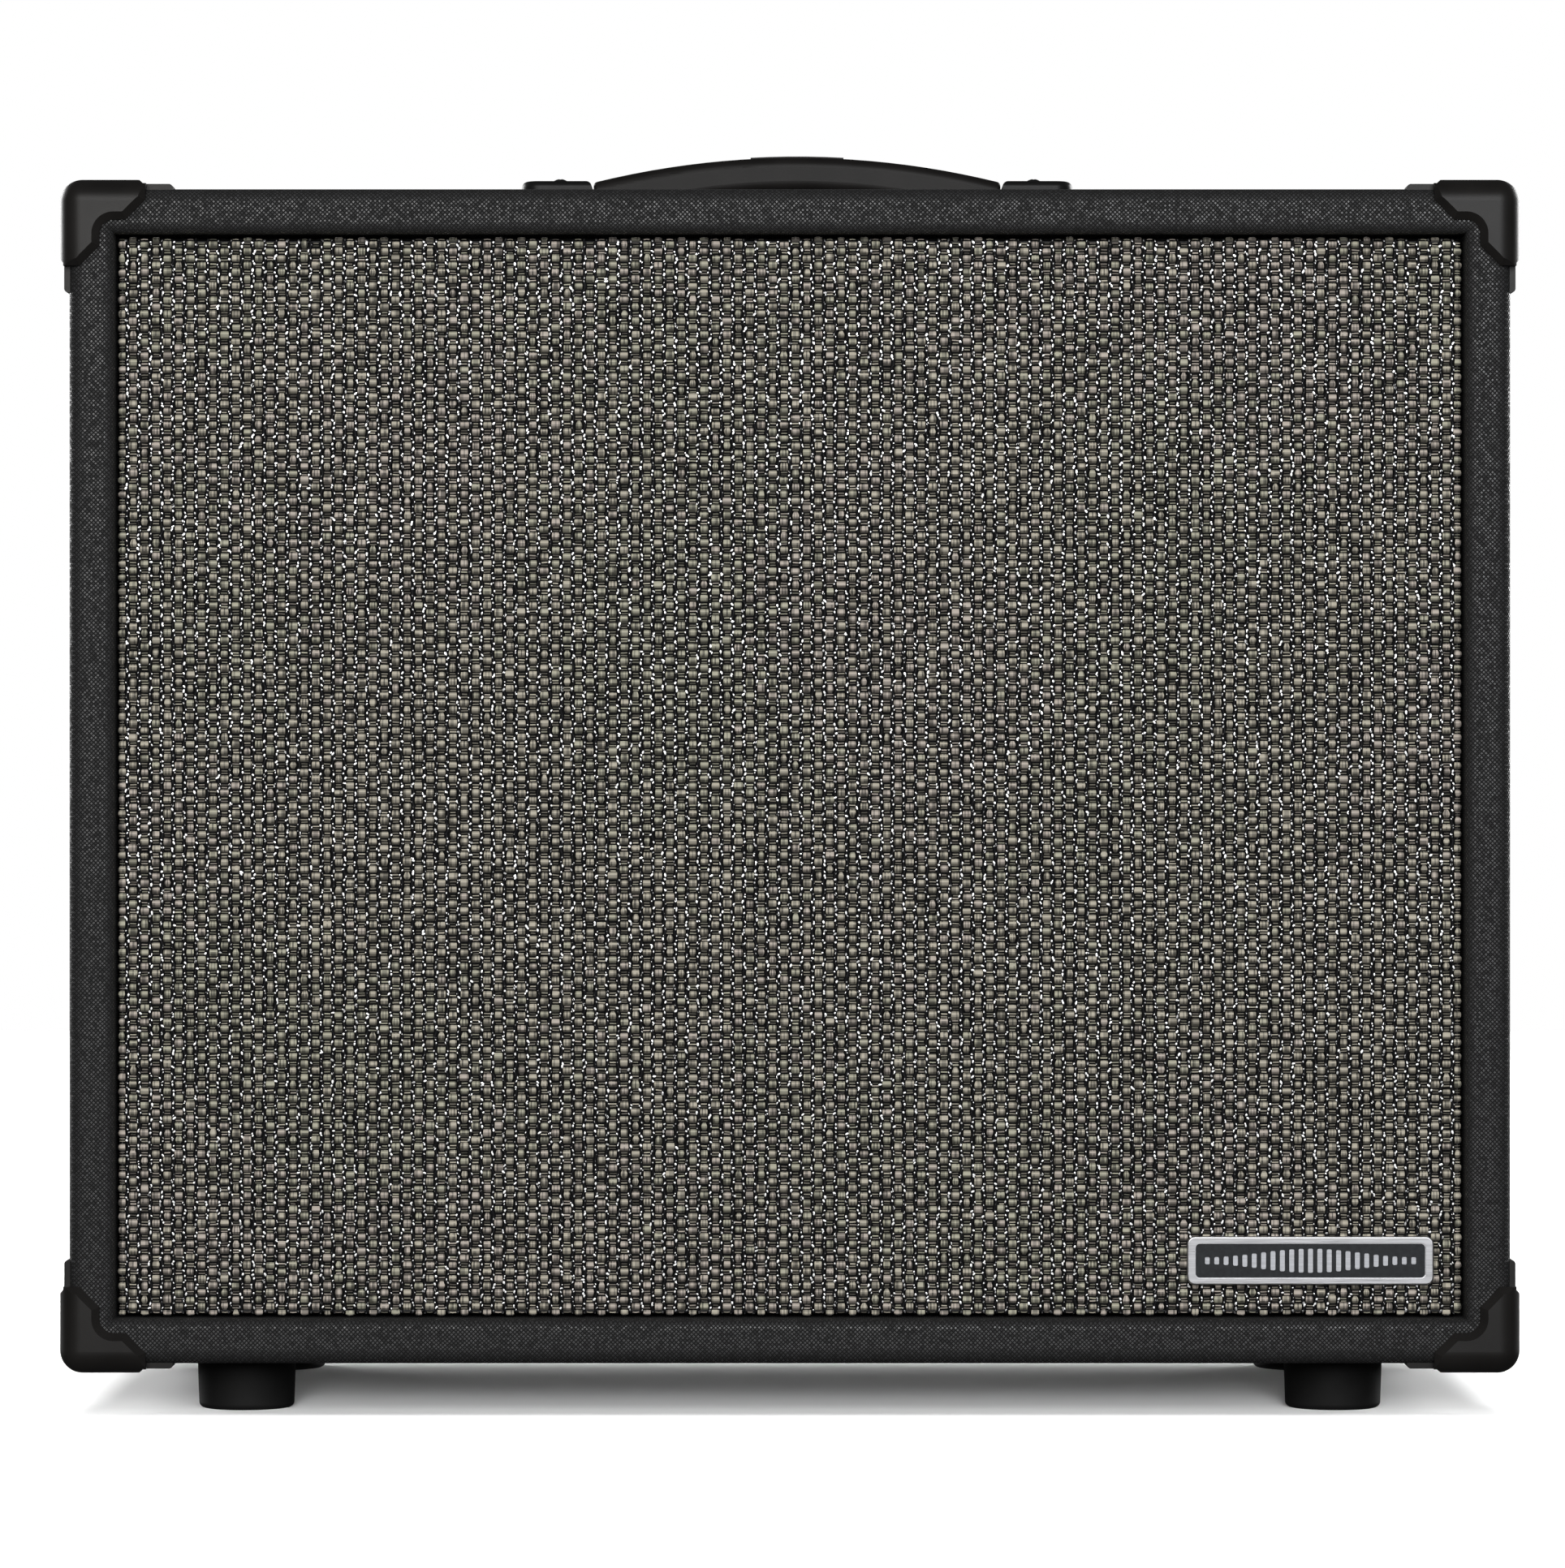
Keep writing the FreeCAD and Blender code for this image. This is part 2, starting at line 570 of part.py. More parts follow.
def foot_screws():
    """A washer and a pan-head screw at the bottom of each foot's well."""
    made = []
    for sx in (-1, 1):
        for sy in (-1, 1):
            x, y = sx * FOOT_X, sy * FOOT_Y
            made.append(rod_z(x, y, 7.0, 11.6, 13.0).cut(rod_z(x, y, 2.4, 10, 14)))
            head = rod_z(x, y, 4.6, 8.8, 11.6)
            slot = block((x, y, 9.0), (5.4, 1.0, 1.6))
            made.append(head.cut(slot).fuse(rod_z(x, y, 2.4, 11.6, FOOT_H + 13)))
    return group(made)


# ---------------------------------------------------------------- back
def back_panel():
    gap = 0.5
    panel = box(-IN_X + gap, IN_X - gap, PANEL_FRONT, PANEL_BACK, IN_Z0 + gap, IN_Z1 - gap)
    amp = box(-CUT_X, CUT_X, PANEL_FRONT - 1, PANEL_BACK + 1, CUT_Z0, CUT_Z1)
    window = box(-GRILLE_WIN_X, GRILLE_WIN_X, PANEL_FRONT - 1, PANEL_BACK + 1, GRILLE_WIN_Z0, GRILLE_WIN_Z1)
    window = window.makeFillet(12.0, edges_along(window, "y"))
    return panel.cut([amp, window])


def vent_grille():
    """A steel sheet over the rear window, with rows of long slots."""
    margin = 12.0
    y0, y1 = PANEL_BACK, PANEL_BACK + SHEET
    sheet = box(-GRILLE_WIN_X - margin, GRILLE_WIN_X + margin, y0, y1,
                GRILLE_WIN_Z0 - margin, GRILLE_WIN_Z1 + margin)
    sheet = sheet.makeFillet(10.0, edges_along(sheet, "y"))
    rows, columns = 9, 6
    pitch_z = (GRILLE_WIN_Z1 - GRILLE_WIN_Z0 - 10) / rows
    pitch_x = (2 * GRILLE_WIN_X - 14) / columns
    slots = []
    for i in range(rows):
        for j in range(columns):
            x = (j - (columns - 1) / 2) * pitch_x
            z = (GRILLE_WIN_Z0 + GRILLE_WIN_Z1) / 2 + (i - (rows - 1) / 2) * pitch_z
            slots.append(block((x, y0, z), (pitch_x - 6.0, 8.0, pitch_z - 4.5)))
    return sheet.cut(slots)


def vent_screw_places():
    margin = 6.0
    zs = (GRILLE_WIN_Z0 - margin, GRILLE_WIN_Z1 + margin)
    return [(x, z) for x in (-198.0, -66.0, 66.0, 198.0) for z in zs]


def panel_screw_places():
    x, z0, z1 = IN_X - 8.0, IN_Z0 + 8.0, IN_Z1 - 8.0
    edge = [(sx * x, z) for sx in (-1, 1) for z in (z0 + 60, (z0 + z1) / 2, z1 - 60)]
    return edge + [(sx * 215.0, z) for sx in (-1, 1) for z in (z0, z1)] + [(0, z0)]


def back_screws():
    """The wood screws that hold the back panel to its battens and the vent grille to the panel."""
    made = [pan_screw_y(x, z, PANEL_BACK, 4.2, 1.9, 24.0) for x, z in panel_screw_places()]
    made += [pan_screw_y(x, z, PANEL_BACK + SHEET, 3.4, 1.6, 10.0) for x, z in vent_screw_places()]
    return made


# ---------------------------------------------------------------- amplifier
def plate_screw_places():
    return [(x, z) for x in (-197.0, -66.0, 66.0, 197.0) for z in (PLATE_Z0 + 4.5, PLATE_Z1 - 4.5)]


def plate_openings():
    """The cutters for everything that goes through the control plate."""
    y0, y1 = PANEL_BACK - 1, PLATE_BACK + 1
    cuts = [rod_y(x, KNOB_Z, 3.6, y0, y1) for x in KNOBS.values()]
    cuts.append(rod_y(COMBO_X, JACK_Z, 12.0, y0, y1))
    cuts.append(block((COMBO_X, (y0 + y1) / 2, LATCH_Z), (9.2, y1 - y0, 4.8)))
    cuts.append(rod_y(XLR_X, JACK_Z, 12.0, y0, y1))
    cuts.append(block((GROUND_X, (y0 + y1) / 2, JACK_Z), (6.8, y1 - y0, 6.8)))
    cuts.append(block((USB_X, (y0 + y1) / 2, JACK_Z), (12.4, y1 - y0, 11.4)))
    cuts.append(block((INLET_X, (y0 + y1) / 2, INLET_Z), (28.4, y1 - y0, 58.4)))
    cuts.append(rod_y(USB_X - 26, JACK_Z, 1.6, y0, y1))
    cuts += [block((FINS_X + i * 6.5, (y0 + y1) / 2, 376.0), (3.0, y1 - y0, 62.0)) for i in range(-6, 7)]
    return cuts


def control_plate():
    plate = box(-PLATE_X, PLATE_X, PANEL_BACK, PLATE_BACK, PLATE_Z0, PLATE_Z1)
    plate = plate.makeFillet(5.0, edges_along(plate, "y"))
    return plate.cut(plate_openings())


def amp_chassis():
    """A folded steel tray behind the control plate, open towards it, with vent slots below and above."""
    outer = box(-CHASSIS_X, CHASSIS_X, CHASSIS_FRONT, PANEL_BACK, CHASSIS_Z0, CHASSIS_Z1)
    inner = box(-CHASSIS_X + SHEET, CHASSIS_X - SHEET, CHASSIS_FRONT + SHEET, PANEL_BACK + 1,
                CHASSIS_Z0 + SHEET, CHASSIS_Z1 - SHEET)
    slots = [block((x, 60.0, (CHASSIS_Z0 + CHASSIS_Z1) / 2), (4.0, 26.0, FAR / 4)) for x in
             range(-160, 161, 20)]
    return outer.cut([inner] + slots)


def main_board():
    """The signal board with its chips, capacitors, stand-offs and the ground-lift switch's body."""
    y = 74.0
    made = [box(-22, 182, y, y + 1.6, CHASSIS_Z0 + 6, CHASSIS_Z1 - 6)]
    for x, z, w, h in ((60, 372, 24, 24), (110, 380, 16, 16), (20, 396, 12, 18), (150, 360, 14, 10)):
        made.append(box(x - w / 2, x + w / 2, y - 2.2, y, z - h / 2, z + h / 2))
    for x, z in ((-8, 344), (8, 344), (130, 408), (146, 408), (162, 408)):
        made.append(rod_y(x, z, 5.0, y - 14, y))
    for x in (-16, 176):
        for z in (CHASSIS_Z0 + 11, CHASSIS_Z1 - 11):
            made.append(rod_y(x, z, 3.0, CHASSIS_FRONT + SHEET, y))
    made.append(block((GROUND_X, 91.8, JACK_Z), (9.0, 14.0, 9.0)))
    made.append(block((GROUND_X, 80.2, JACK_Z), (9.0, 9.2, 9.0)))
    return group(made)


def power_board():
    """The switched supply: board, transformer, coil, two large capacitors and stand-offs."""
    y = 66.0
    made = [box(-182, -30, y, y + 1.6, CHASSIS_Z0 + 6, CHASSIS_Z1 - 6)]
    made.append(box(-76, -44, y - 26, y, 382, 414))
    made.append(rod_y(-56, 350, 14.0, y - 12, y))
    for x in (-110, -140):
        made.append(rod_y(x, 352, 12.0, y - 27, y))
    for x in (-176, -36):
        for z in (CHASSIS_Z0 + 11, CHASSIS_Z1 - 11):
            made.append(rod_y(x, z, 3.0, CHASSIS_FRONT + SHEET, y))
    return group(made)


def heatsink():
    """A finned extrusion on the control plate, behind its row of vent slots."""
    base = box(FINS_X - 44, FINS_X + 44, 72.0, 78.0, 340, 412)
    fins = [block((FINS_X + (i + 0.5) * 6.5, 94.0, 376), (1.8, 32.0, 72)) for i in range(-6, 6)]
    return joined([base] + fins)


def potentiometers():
    """The four controls' bodies, bushings and nuts."""
    made = []
    for x in KNOBS.values():
        body = block((x, (PANEL_BACK + 98.0) / 2, KNOB_Z), (16.5, PANEL_BACK - 98.0, 17.0))
        bush = rod_y(x, KNOB_Z, 3.5, PANEL_BACK - 1, PLATE_BACK + 3.0)
        bore = rod_y(x, KNOB_Z, SHAFT_R + SHAFT_GAP, 101.0, PLATE_BACK + 4)
        made.append(body.fuse(bush).cut(bore))
        corners = [around(x, KNOB_Z, 6.0, angle) for angle in range(0, 360, 60)]
        nut = face_of([(px, PLATE_BACK, pz) for px, pz in corners]).extrude(V(0, NUT_T, 0))
        made.append(nut.cut(rod_y(x, KNOB_Z, 3.5, PLATE_BACK - 1, PLATE_BACK + 4)))
    return group(made)


def knob(x):
    """A moulded knob with a skirt, grip flutes and a pointer groove, and its shaft."""
    y0, y1 = KNOB_Y0, KNOB_Y0 + KNOB_L
    skirt = turned_y([(0, y0), (KNOB_R, y0), (KNOB_R, y0 + 2.2), (KNOB_R - 1.4, y0 + 3.4),
                      (KNOB_R - 2.2, y1 - 1.2), (KNOB_R - 3.2, y1), (0, y1)], x, KNOB_Z)
    flutes = [rod_y(*around(x, KNOB_Z, KNOB_R - 0.2, angle), 1.3, y0 + 3.6, y1 + 1)
              for angle in range(0, 360, 20) if angle not in (80, 100)]
    pointer = block((x, y1, KNOB_Z + 4.6), (1.2, 1.4, 6.0))
    hub = rod_y(x, KNOB_Z, SHAFT_R, y0 - 1, y1 - 3)
    hollow = rod_y(x, KNOB_Z, 6.6, y0 - 1, y0 + 1.6)
    body = skirt.cut(flutes + [pointer, hub, hollow])
    shaft = rod_y(x, KNOB_Z, SHAFT_R, 101.5, y1 - 3)
    return group([body, shaft])


def flange_26(x, z, y0, y1):
    plate = block((x, (y0 + y1) / 2, z), (26.0, y1 - y0, 31.0))
    return plate.makeFillet(2.5, edges_along(plate, "y"))


def flange_screw_places():
    return [(c + s * 9.6, JACK_Z + s * 12.0) for c in (COMBO_X, XLR_X) for s in (-1, 1)]


LATCH_Z = JACK_Z + 12.4


def combo_jack():
    """The input socket: a quarter inch jack bore inside the slot and contacts of a three-pin connector."""
    x, z = COMBO_X, JACK_Z
    y0 = PLATE_BACK
    body = rod_y(x, z, 11.8, y0 - 30, y0)
    front = flange_26(x, z, y0, y0 + 2.4)
    whole = body.fuse(front)
    ring = rod_y(x, z, 9.6, y0 - 12, y0 + 3).cut(rod_y(x, z, 7.7, y0 - 12, y0 + 3))
    bore = rod_y(x, z, JACK_R, y0 + 2.4 - JACK_L, y0 + 3)
    pins = [rod_y(x + 5.5 * math.cos(a), z + 5.5 * math.sin(a), 1.2, y0 - 12, y0 + 3)
            for a in (math.radians(d) for d in (30, 150, 270))]
    latch = block((x, y0, LATCH_Z), (8.6, 12.0, 4.2))
    return whole.cut([ring, bore, latch] + pins)


def combo_latch():
    return block((COMBO_X, PLATE_BACK + 0.6, LATCH_Z), (8.0, 6.0, 3.6))


def line_output():
    """The output socket: an open well with three pins."""
    x, z = XLR_X, JACK_Z
    y0 = PLATE_BACK
    body = rod_y(x, z, 11.8, y0 - 22, y0).fuse(flange_26(x, z, y0, y0 + 2.4))
    body = body.cut(rod_y(x, z, 9.4, y0 - 12, y0 + 3))
    pins = [rod_y(x + px, z + pz, 1.2, y0 - 13, y0 - 1) for px, pz in ((-3.4, 1.5), (3.4, 1.5), (0, -3.6))]
    return joined([body] + pins)


def data_port():
    """A square data socket with its inner tongue."""
    shell = block((USB_X, PLATE_BACK - 6.0, JACK_Z), (12.0, 14.0, 11.0))
    well = block((USB_X, PLATE_BACK - 3.0, JACK_Z), (8.6, 12.0, 7.8))
    tongue = block((USB_X, PLATE_BACK - 4.5, JACK_Z), (5.4, 9.0, 3.0))
    return shell.cut(well).fuse(tongue)


def status_lamp():
    x, z = USB_X - 26, JACK_Z
    dome = Part.makeSphere(1.5, V(x, PLATE_BACK, z))
    return joined([rod_y(x, z, 1.5, PLATE_BACK - 6, PLATE_BACK), dome])


ROCKER_Z = INLET_Z + 17.0
SOCKET_Z = INLET_Z - 10.0


def mains_inlet():
    """The mains module: an inlet with three blades under the frame of the power switch."""
    y0 = PLATE_BACK
    flange = block((INLET_X, y0 + 1.0, INLET_Z), (33.0, 2.0, 63.0))
    flange = flange.makeFillet(2.5, edges_along(flange, "y"))
    body = block((INLET_X, y0 - 13.0, INLET_Z), (28.0, 26.0, 58.0))
    well = block((INLET_X, y0 - 6.0, SOCKET_Z), (24.4, 20.0, 16.4))
    top_edges = edges_along(well, "y", lambda e: e.BoundBox.ZMin > SOCKET_Z)
    well = well.makeChamfer(4.5, top_edges)
    blades = [block((INLET_X + px, y0 - 9.0, SOCKET_Z + pz), (2.0, 16.0, 4.0))
              for px, pz in ((-7.0, -1.5), (7.0, -1.5), (0.0, 3.0))]
    seat = block((INLET_X, y0 - 4.0, ROCKER_Z), (21.0, 16.0, 15.0))
    pivot = rod_x(ROCKER_PIVOT_Y, ROCKER_Z, PIN_R + SHAFT_GAP, INLET_X - 12.6, INLET_X + 12.6)
    return joined([flange.fuse(body).cut([well, seat, pivot])] + blades)


ROCKER_TILT = 9.0
ROCKER_PIVOT_Y = PLATE_BACK - 1.6
PIN_R = 1.2


def power_rocker():
    """The switch's rocker on its two pins, resting with its lower half out."""
    section = [(-2.0, -3.0), (4.1, -6.3), (5.6, -6.3), (4.2, 0.0), (5.6, 6.3), (4.1, 6.3), (-2.0, 3.0)]
    outline = [(INLET_X - 9.9, ROCKER_PIVOT_Y + y, ROCKER_Z + z) for y, z in section]
    body = face_of(outline).extrude(V(19.8, 0, 0))
    body.rotate(V(INLET_X, ROCKER_PIVOT_Y, ROCKER_Z), V(1, 0, 0), ROCKER_TILT)
    return joined([body, rod_x(ROCKER_PIVOT_Y, ROCKER_Z, PIN_R, INLET_X - 12.4, INLET_X + 12.4)])


def ground_button():
    return block((GROUND_X, PLATE_BACK - 2.0, JACK_Z), (6.0, 12.0, 6.0))


# ---------------------------------------------------------------- speaker
def speaker_bolts():
    angles = [math.radians(22.5 + 45 * k) for k in range(8)]
    return [(SPK_BOLT_R * math.cos(a), SPK_Z + SPK_BOLT_R * math.sin(a)) for a in angles]


SPK_Y = BAFFLE_BACK       # the flange's seat on the baffle


def speaker_basket():
    """The pressed steel frame: flange, conical shell with windows and the seat for the motor."""
    y = SPK_Y
    shell = turned_y([(SPK_FLANGE_R, y), (SPK_FLANGE_R, y + 2.0), (143.6, y + 2.0), (143.6, y + 6.8),
                      (139.0, y + 6.8), (84.0, y + 62.0), (30.0, y + 62.0), (30.0, y + 60.0),
                      (80.0, y + 60.0), (80.0, y + 53.0), (89.8, y + 53.0), (136.4, y + 5.0),
                      (142.0, y + 5.0), (142.0, y)], 0, SPK_Z)
    windows = []
    for k in range(8):
        window = block((112.0, y + 38.0, SPK_Z), (46.0, 46.0, 52.0))
        window.rotate(V(0, 0, SPK_Z), V(0, 1, 0), 45.0 * k)
        windows.append(window)
    holes = [rod_y(x, z, 2.6, y - 1, y + 4) for x, z in speaker_bolts()]
    return shell.cut(windows + holes)


MOTOR_Y = SPK_Y + 62.0


def speaker_motor():
    """Front plate, ring magnet and back plate with its pole: three pieces held by glue."""
    y = MOTOR_Y
    front = turned_y([(28.0, y), (74.0, y), (74.0, y + 8.0), (28.0, y + 8.0)], 0, SPK_Z)
    magnet = turned_y([(42.0, y + 8.0), (80.0, y + 8.0), (80.0, y + 28.0), (42.0, y + 28.0)], 0, SPK_Z)
    back = turned_y([(12.0, y - 2.0), (23.6, y - 2.0), (23.6, y + 28.0), (74.0, y + 28.0),
                     (74.0, y + 36.0), (12.0, y + 36.0)], 0, SPK_Z)
    return group([front, magnet, back])


def horn_driver():
    """The high frequency driver behind the motor, which fires through the pole."""
    y = MOTOR_Y + 36.0
    return turned_y([(0, y), (44.0, y), (44.0, y + 16.0), (38.0, y + 24.0), (12.0, y + 24.0),
                     (12.0, y + 27.0), (0, y + 27.0)], 0, SPK_Z)


def speaker_cone():
    """The paper cone and its dust screen over the coil."""
    y = SPK_Y
    cone = turned_y([(128.0, y + 5.0), (128.0, y + 6.2), (27.2, y + 50.0), (26.2, y + 50.0),
                     (26.2, y + 48.6)], 0, SPK_Z)
    screen = turned_y([(0, y + 33.5), (20.0, y + 37.5), (38.0, y + 43.9), (38.0, y + 45.15), (37.2, y + 44.6),
                       (20.0, y + 38.7), (0, y + 34.7)], 0, SPK_Z)
    return group([cone, screen.cut(cone)])


def speaker_surround():
    """The rolled edge between cone and flange."""
    y = SPK_Y
    outline = [(126.0, y + 4.4), (129.0, y + 4.4)]
    outline += [(135.0 - 5.5 * math.cos(a), y + 4.4 - 5.5 * math.sin(a)) for a in
                (math.radians(d) for d in range(10, 180, 20))]
    outline += [(141.8, y + 4.4), (141.8, y + 5.0)]
    inner = [(135.0 + 4.9 * math.cos(a), y + 5.0 - 4.9 * math.sin(a)) for a in
             (math.radians(d) for d in range(10, 180, 20))]
    outline += inner + [(129.2, y + 5.0), (126.0, y + 5.0)]
    return turned_y(outline, 0, SPK_Z)


def speaker_spider():
    """The corrugated disc that centres the coil."""
    y = SPK_Y + 51.5
    steps = [(26.2 + 55.0 * k / 24, y + 0.9 * math.sin(k * math.pi / 2)) for k in range(24)]
    steps += [(82.0, y + 0.9), (87.0, y + 0.9)]
    under = [(r, h + 0.6) for r, h in reversed(steps)]
    return turned_y(steps + under, 0, SPK_Z)


def voice_coil():
    y = SPK_Y
    former = turned_y([(25.2, y + 46.0), (26.2, y + 46.0), (26.2, MOTOR_Y + 1.0), (27.2, MOTOR_Y + 1.0),
                       (27.2, MOTOR_Y + 8.0), (25.2, MOTOR_Y + 8.0)], 0, SPK_Z)
    return former


def speaker_screws():
    return group([pan_screw_y(x, z, SPK_Y + 2.0, 4.6, 2.0, 14.0) for x, z in speaker_bolts()])


def speaker_lead(offset, start_z):
    """One lead from the chassis' underside to the basket's terminal, as straight runs joined by arcs."""
    x = 60.0 + offset
    r = 1.1
    top, low = CHASSIS_Z0, 262.0
    y_hang, y_end = 62.0, MOTOR_Y + 36.0 + 8.0
    bend = 14.0
    k = bend * (1 - math.sqrt(0.5))
    arc = lambda a, m, b: Part.Arc(V(x, *a), V(x, *m), V(x, *b)).toShape()
    line = lambda a, b: Part.makeLine(V(x, *a), V(x, *b))
    path = Part.Wire([
        line((y_hang, start_z), (y_hang, low + bend)),
        arc((y_hang, low + bend), (y_hang - k, low + k), (y_hang - bend, low)),
        line((y_hang - bend, low), (y_end, low)),
    ])
    ring = Part.makeCircle(r, V(x, y_hang, start_z), V(0, 0, -1))
    return path.makePipeShell([Part.Wire([ring])], True, False)


def speaker_leads():
    """A red and a black lead, and the terminal block that they end in, on the magnet."""
    y_end = MOTOR_Y + 36.0 + 8.0
    block_t = box(53.0, 69.0, MOTOR_Y + 36.0, y_end, 256.0, 268.0)
    return group([speaker_lead(-4.0, CHASSIS_Z0), speaker_lead(4.0, CHASSIS_Z0), block_t])


# ---------------------------------------------------------------- assembly
def pilot(shape_list, screws):
    """Each shape with the screws' own volume taken out, so that they meet face to face."""
    tool = [s for screw in screws for s in screw.Solids]
    return [s.cut([t for t in tool if t.BoundBox.intersect(s.BoundBox)]) for s in shape_list]


def build():
    nodes = dict(boards())
    guards, corner_screws = all_corners()
    nodes["covering"] = covering()
    nodes["battens"] = battens()
    nodes["baffle_board"] = baffle_board()
    nodes["grille_frame"] = grille_frame()
    nodes["grille_cloth"] = grille_cloth()
    nodes["badge_plate"] = badge()
    nodes.update(guards)
    nodes["corner_screws"] = corner_screws
    for fb, sy in (("front", -1), ("back", 1)):
        for lr, sx in (("left", -1), ("right", 1)):
            nodes[f"foot_{fb}_{lr}"] = foot(sx, sy)
    nodes["foot_screws"] = foot_screws()
    nodes["handle_strap"] = strap()
    nodes["handle_cap_left"] = handle_cap(-1)
    nodes["handle_cap_right"] = handle_cap(1)
    nodes["handle_screws"] = handle_screws()
    nodes["back_panel"] = back_panel()
    nodes["vent_grille"] = vent_grille()
    nodes["back_screws"] = group(back_screws())
    nodes["control_plate"] = control_plate()
    plate_screws = [pan_screw_y(x, z, PLATE_BACK, 3.4, 1.6, 12.0) for x, z in plate_screw_places()]
    flange_screws = [pan_screw_y(x, z, PLATE_BACK + 2.4, 2.0, 1.2, 8.0) for x, z in flange_screw_places()]
    nodes["plate_screws"] = group(plate_screws + flange_screws)
    nodes["amp_chassis"] = amp_chassis()
    nodes["main_board"] = main_board()
    nodes["power_board"] = power_board()
    nodes["heatsink"] = heatsink()
    nodes["potentiometers"] = potentiometers()
    for name, x in KNOBS.items():
        nodes[name] = knob(x)
    nodes["combo_jack"] = combo_jack()
    nodes["combo_latch"] = combo_latch()
    nodes["line_output"] = line_output()
    nodes["data_port"] = data_port()
    nodes["status_lamp"] = status_lamp()
    nodes["mains_inlet"] = mains_inlet()
    nodes["power_rocker"] = power_rocker()
    nodes["ground_button"] = ground_button()
    nodes["speaker_basket"] = speaker_basket()
    nodes["speaker_motor"] = speaker_motor()
    nodes["horn_driver"] = horn_driver()
    nodes["speaker_cone"] = speaker_cone()
    nodes["speaker_surround"] = speaker_surround()
    nodes["speaker_spider"] = speaker_spider()
    nodes["voice_coil"] = voice_coil()
    nodes["speaker_screws"] = speaker_screws()
    nodes["speaker_leads"] = speaker_leads()

    fixings = {
        "corner_screws": ["covering", "top_board", "bottom_board", "left_side_board", "right_side_board"],
        "foot_screws": ["covering", "bottom_board"],
        "handle_screws": ["covering", "top_board"],
        "back_screws": ["back_panel", "battens", "vent_grille"],
        "plate_screws": ["control_plate", "back_panel", "combo_jack", "line_output"],
        "badge_plate": ["grille_cloth", "grille_frame"],
        "speaker_screws": ["battens"],
    }
    for screws, held in fixings.items():
        for name, shape in zip(held, pilot([nodes[n] for n in held], [nodes[screws]])):
            nodes[name] = group([shape])
    return nodes


def main():
    os.makedirs("parts", exist_ok=True)
    for name, shape in build().items():
        if not shape.isValid() or shape.Volume <= 0:
            print("check", name, shape.isValid(), round(shape.Volume, 2))
        shape.exportStep(f"parts/{name}.step")


main()
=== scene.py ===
"""The looks of a powered guitar cabinet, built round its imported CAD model. Sizes are in metres."""

import math

import bmesh
import bpy
import numpy as np
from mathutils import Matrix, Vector


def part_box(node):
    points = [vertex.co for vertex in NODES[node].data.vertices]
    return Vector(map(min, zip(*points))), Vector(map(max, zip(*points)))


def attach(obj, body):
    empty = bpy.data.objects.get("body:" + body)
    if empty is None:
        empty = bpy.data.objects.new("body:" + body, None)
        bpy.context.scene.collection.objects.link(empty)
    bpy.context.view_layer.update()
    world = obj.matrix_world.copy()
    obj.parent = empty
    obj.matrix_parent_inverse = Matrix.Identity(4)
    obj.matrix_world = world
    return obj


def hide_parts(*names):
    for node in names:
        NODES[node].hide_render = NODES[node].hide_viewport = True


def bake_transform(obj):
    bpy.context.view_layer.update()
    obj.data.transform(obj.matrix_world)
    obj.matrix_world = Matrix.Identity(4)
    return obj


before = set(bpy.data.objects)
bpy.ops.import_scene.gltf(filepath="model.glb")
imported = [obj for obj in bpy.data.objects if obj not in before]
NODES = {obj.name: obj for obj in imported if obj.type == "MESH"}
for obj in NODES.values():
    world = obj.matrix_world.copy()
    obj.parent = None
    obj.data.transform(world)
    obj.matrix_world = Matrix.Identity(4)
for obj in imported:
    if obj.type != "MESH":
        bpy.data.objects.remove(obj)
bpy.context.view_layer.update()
RNG = np.random.default_rng(7)
MM = 0.001


# ---------------------------------------------------------------- view, floor and lights
VIEW_FROM = (-0.0028, -2.735, 0.2408)
LENS = 156.95               # in millimetres, for a frame 36 mm wide
KEY_SIZE = (1.3, 1.6)
REAR_SIZE = (1.6, 1.4)
REAR_WATTS = 60
FLOOR_R = 4.0
DOME_R = 12.0
FILL = 0.05                 # light from all round


def look_at(obj, target):
    """Turns a lamp's face to the target."""
    obj.rotation_euler = (Vector(target) - obj.location).to_track_quat("-Z", "Y").to_euler()


def camera():
    """Square on to the front, and level with its middle."""
    data = bpy.data.cameras.new("camera")
    data.lens, data.sensor_width = LENS, 36.0
    data.clip_end = 100.0
    cam = bpy.data.objects.new("camera", data)
    cam.location = VIEW_FROM
    cam.rotation_euler = (math.pi / 2, 0, 0)
    bpy.context.scene.collection.objects.link(cam)
    bpy.context.scene.camera = cam


def area_light(name, place, target, size, power, colour=(1, 1, 1)):
    data = bpy.data.lights.new(name, "AREA")
    data.shape, data.size, data.size_y = "RECTANGLE", size[0], size[1]
    data.energy, data.color = power, colour
    light = bpy.data.objects.new(name, data)
    light.visible_camera = False
    light.location = place
    look_at(light, target)
    bpy.context.scene.collection.objects.link(light)


def glow(name, level):
    """A surface that only gives light."""
    m = bpy.data.materials.new(name)
    m.use_nodes = True
    bsdf = m.node_tree.nodes["Principled BSDF"]
    bsdf.inputs["Base Color"].default_value = (0, 0, 0, 1)
    bsdf.inputs["Specular IOR Level"].default_value = 0.0
    bsdf.inputs["Emission Color"].default_value = (level, level, level, 1)
    bsdf.inputs["Emission Strength"].default_value = 1.0
    return m


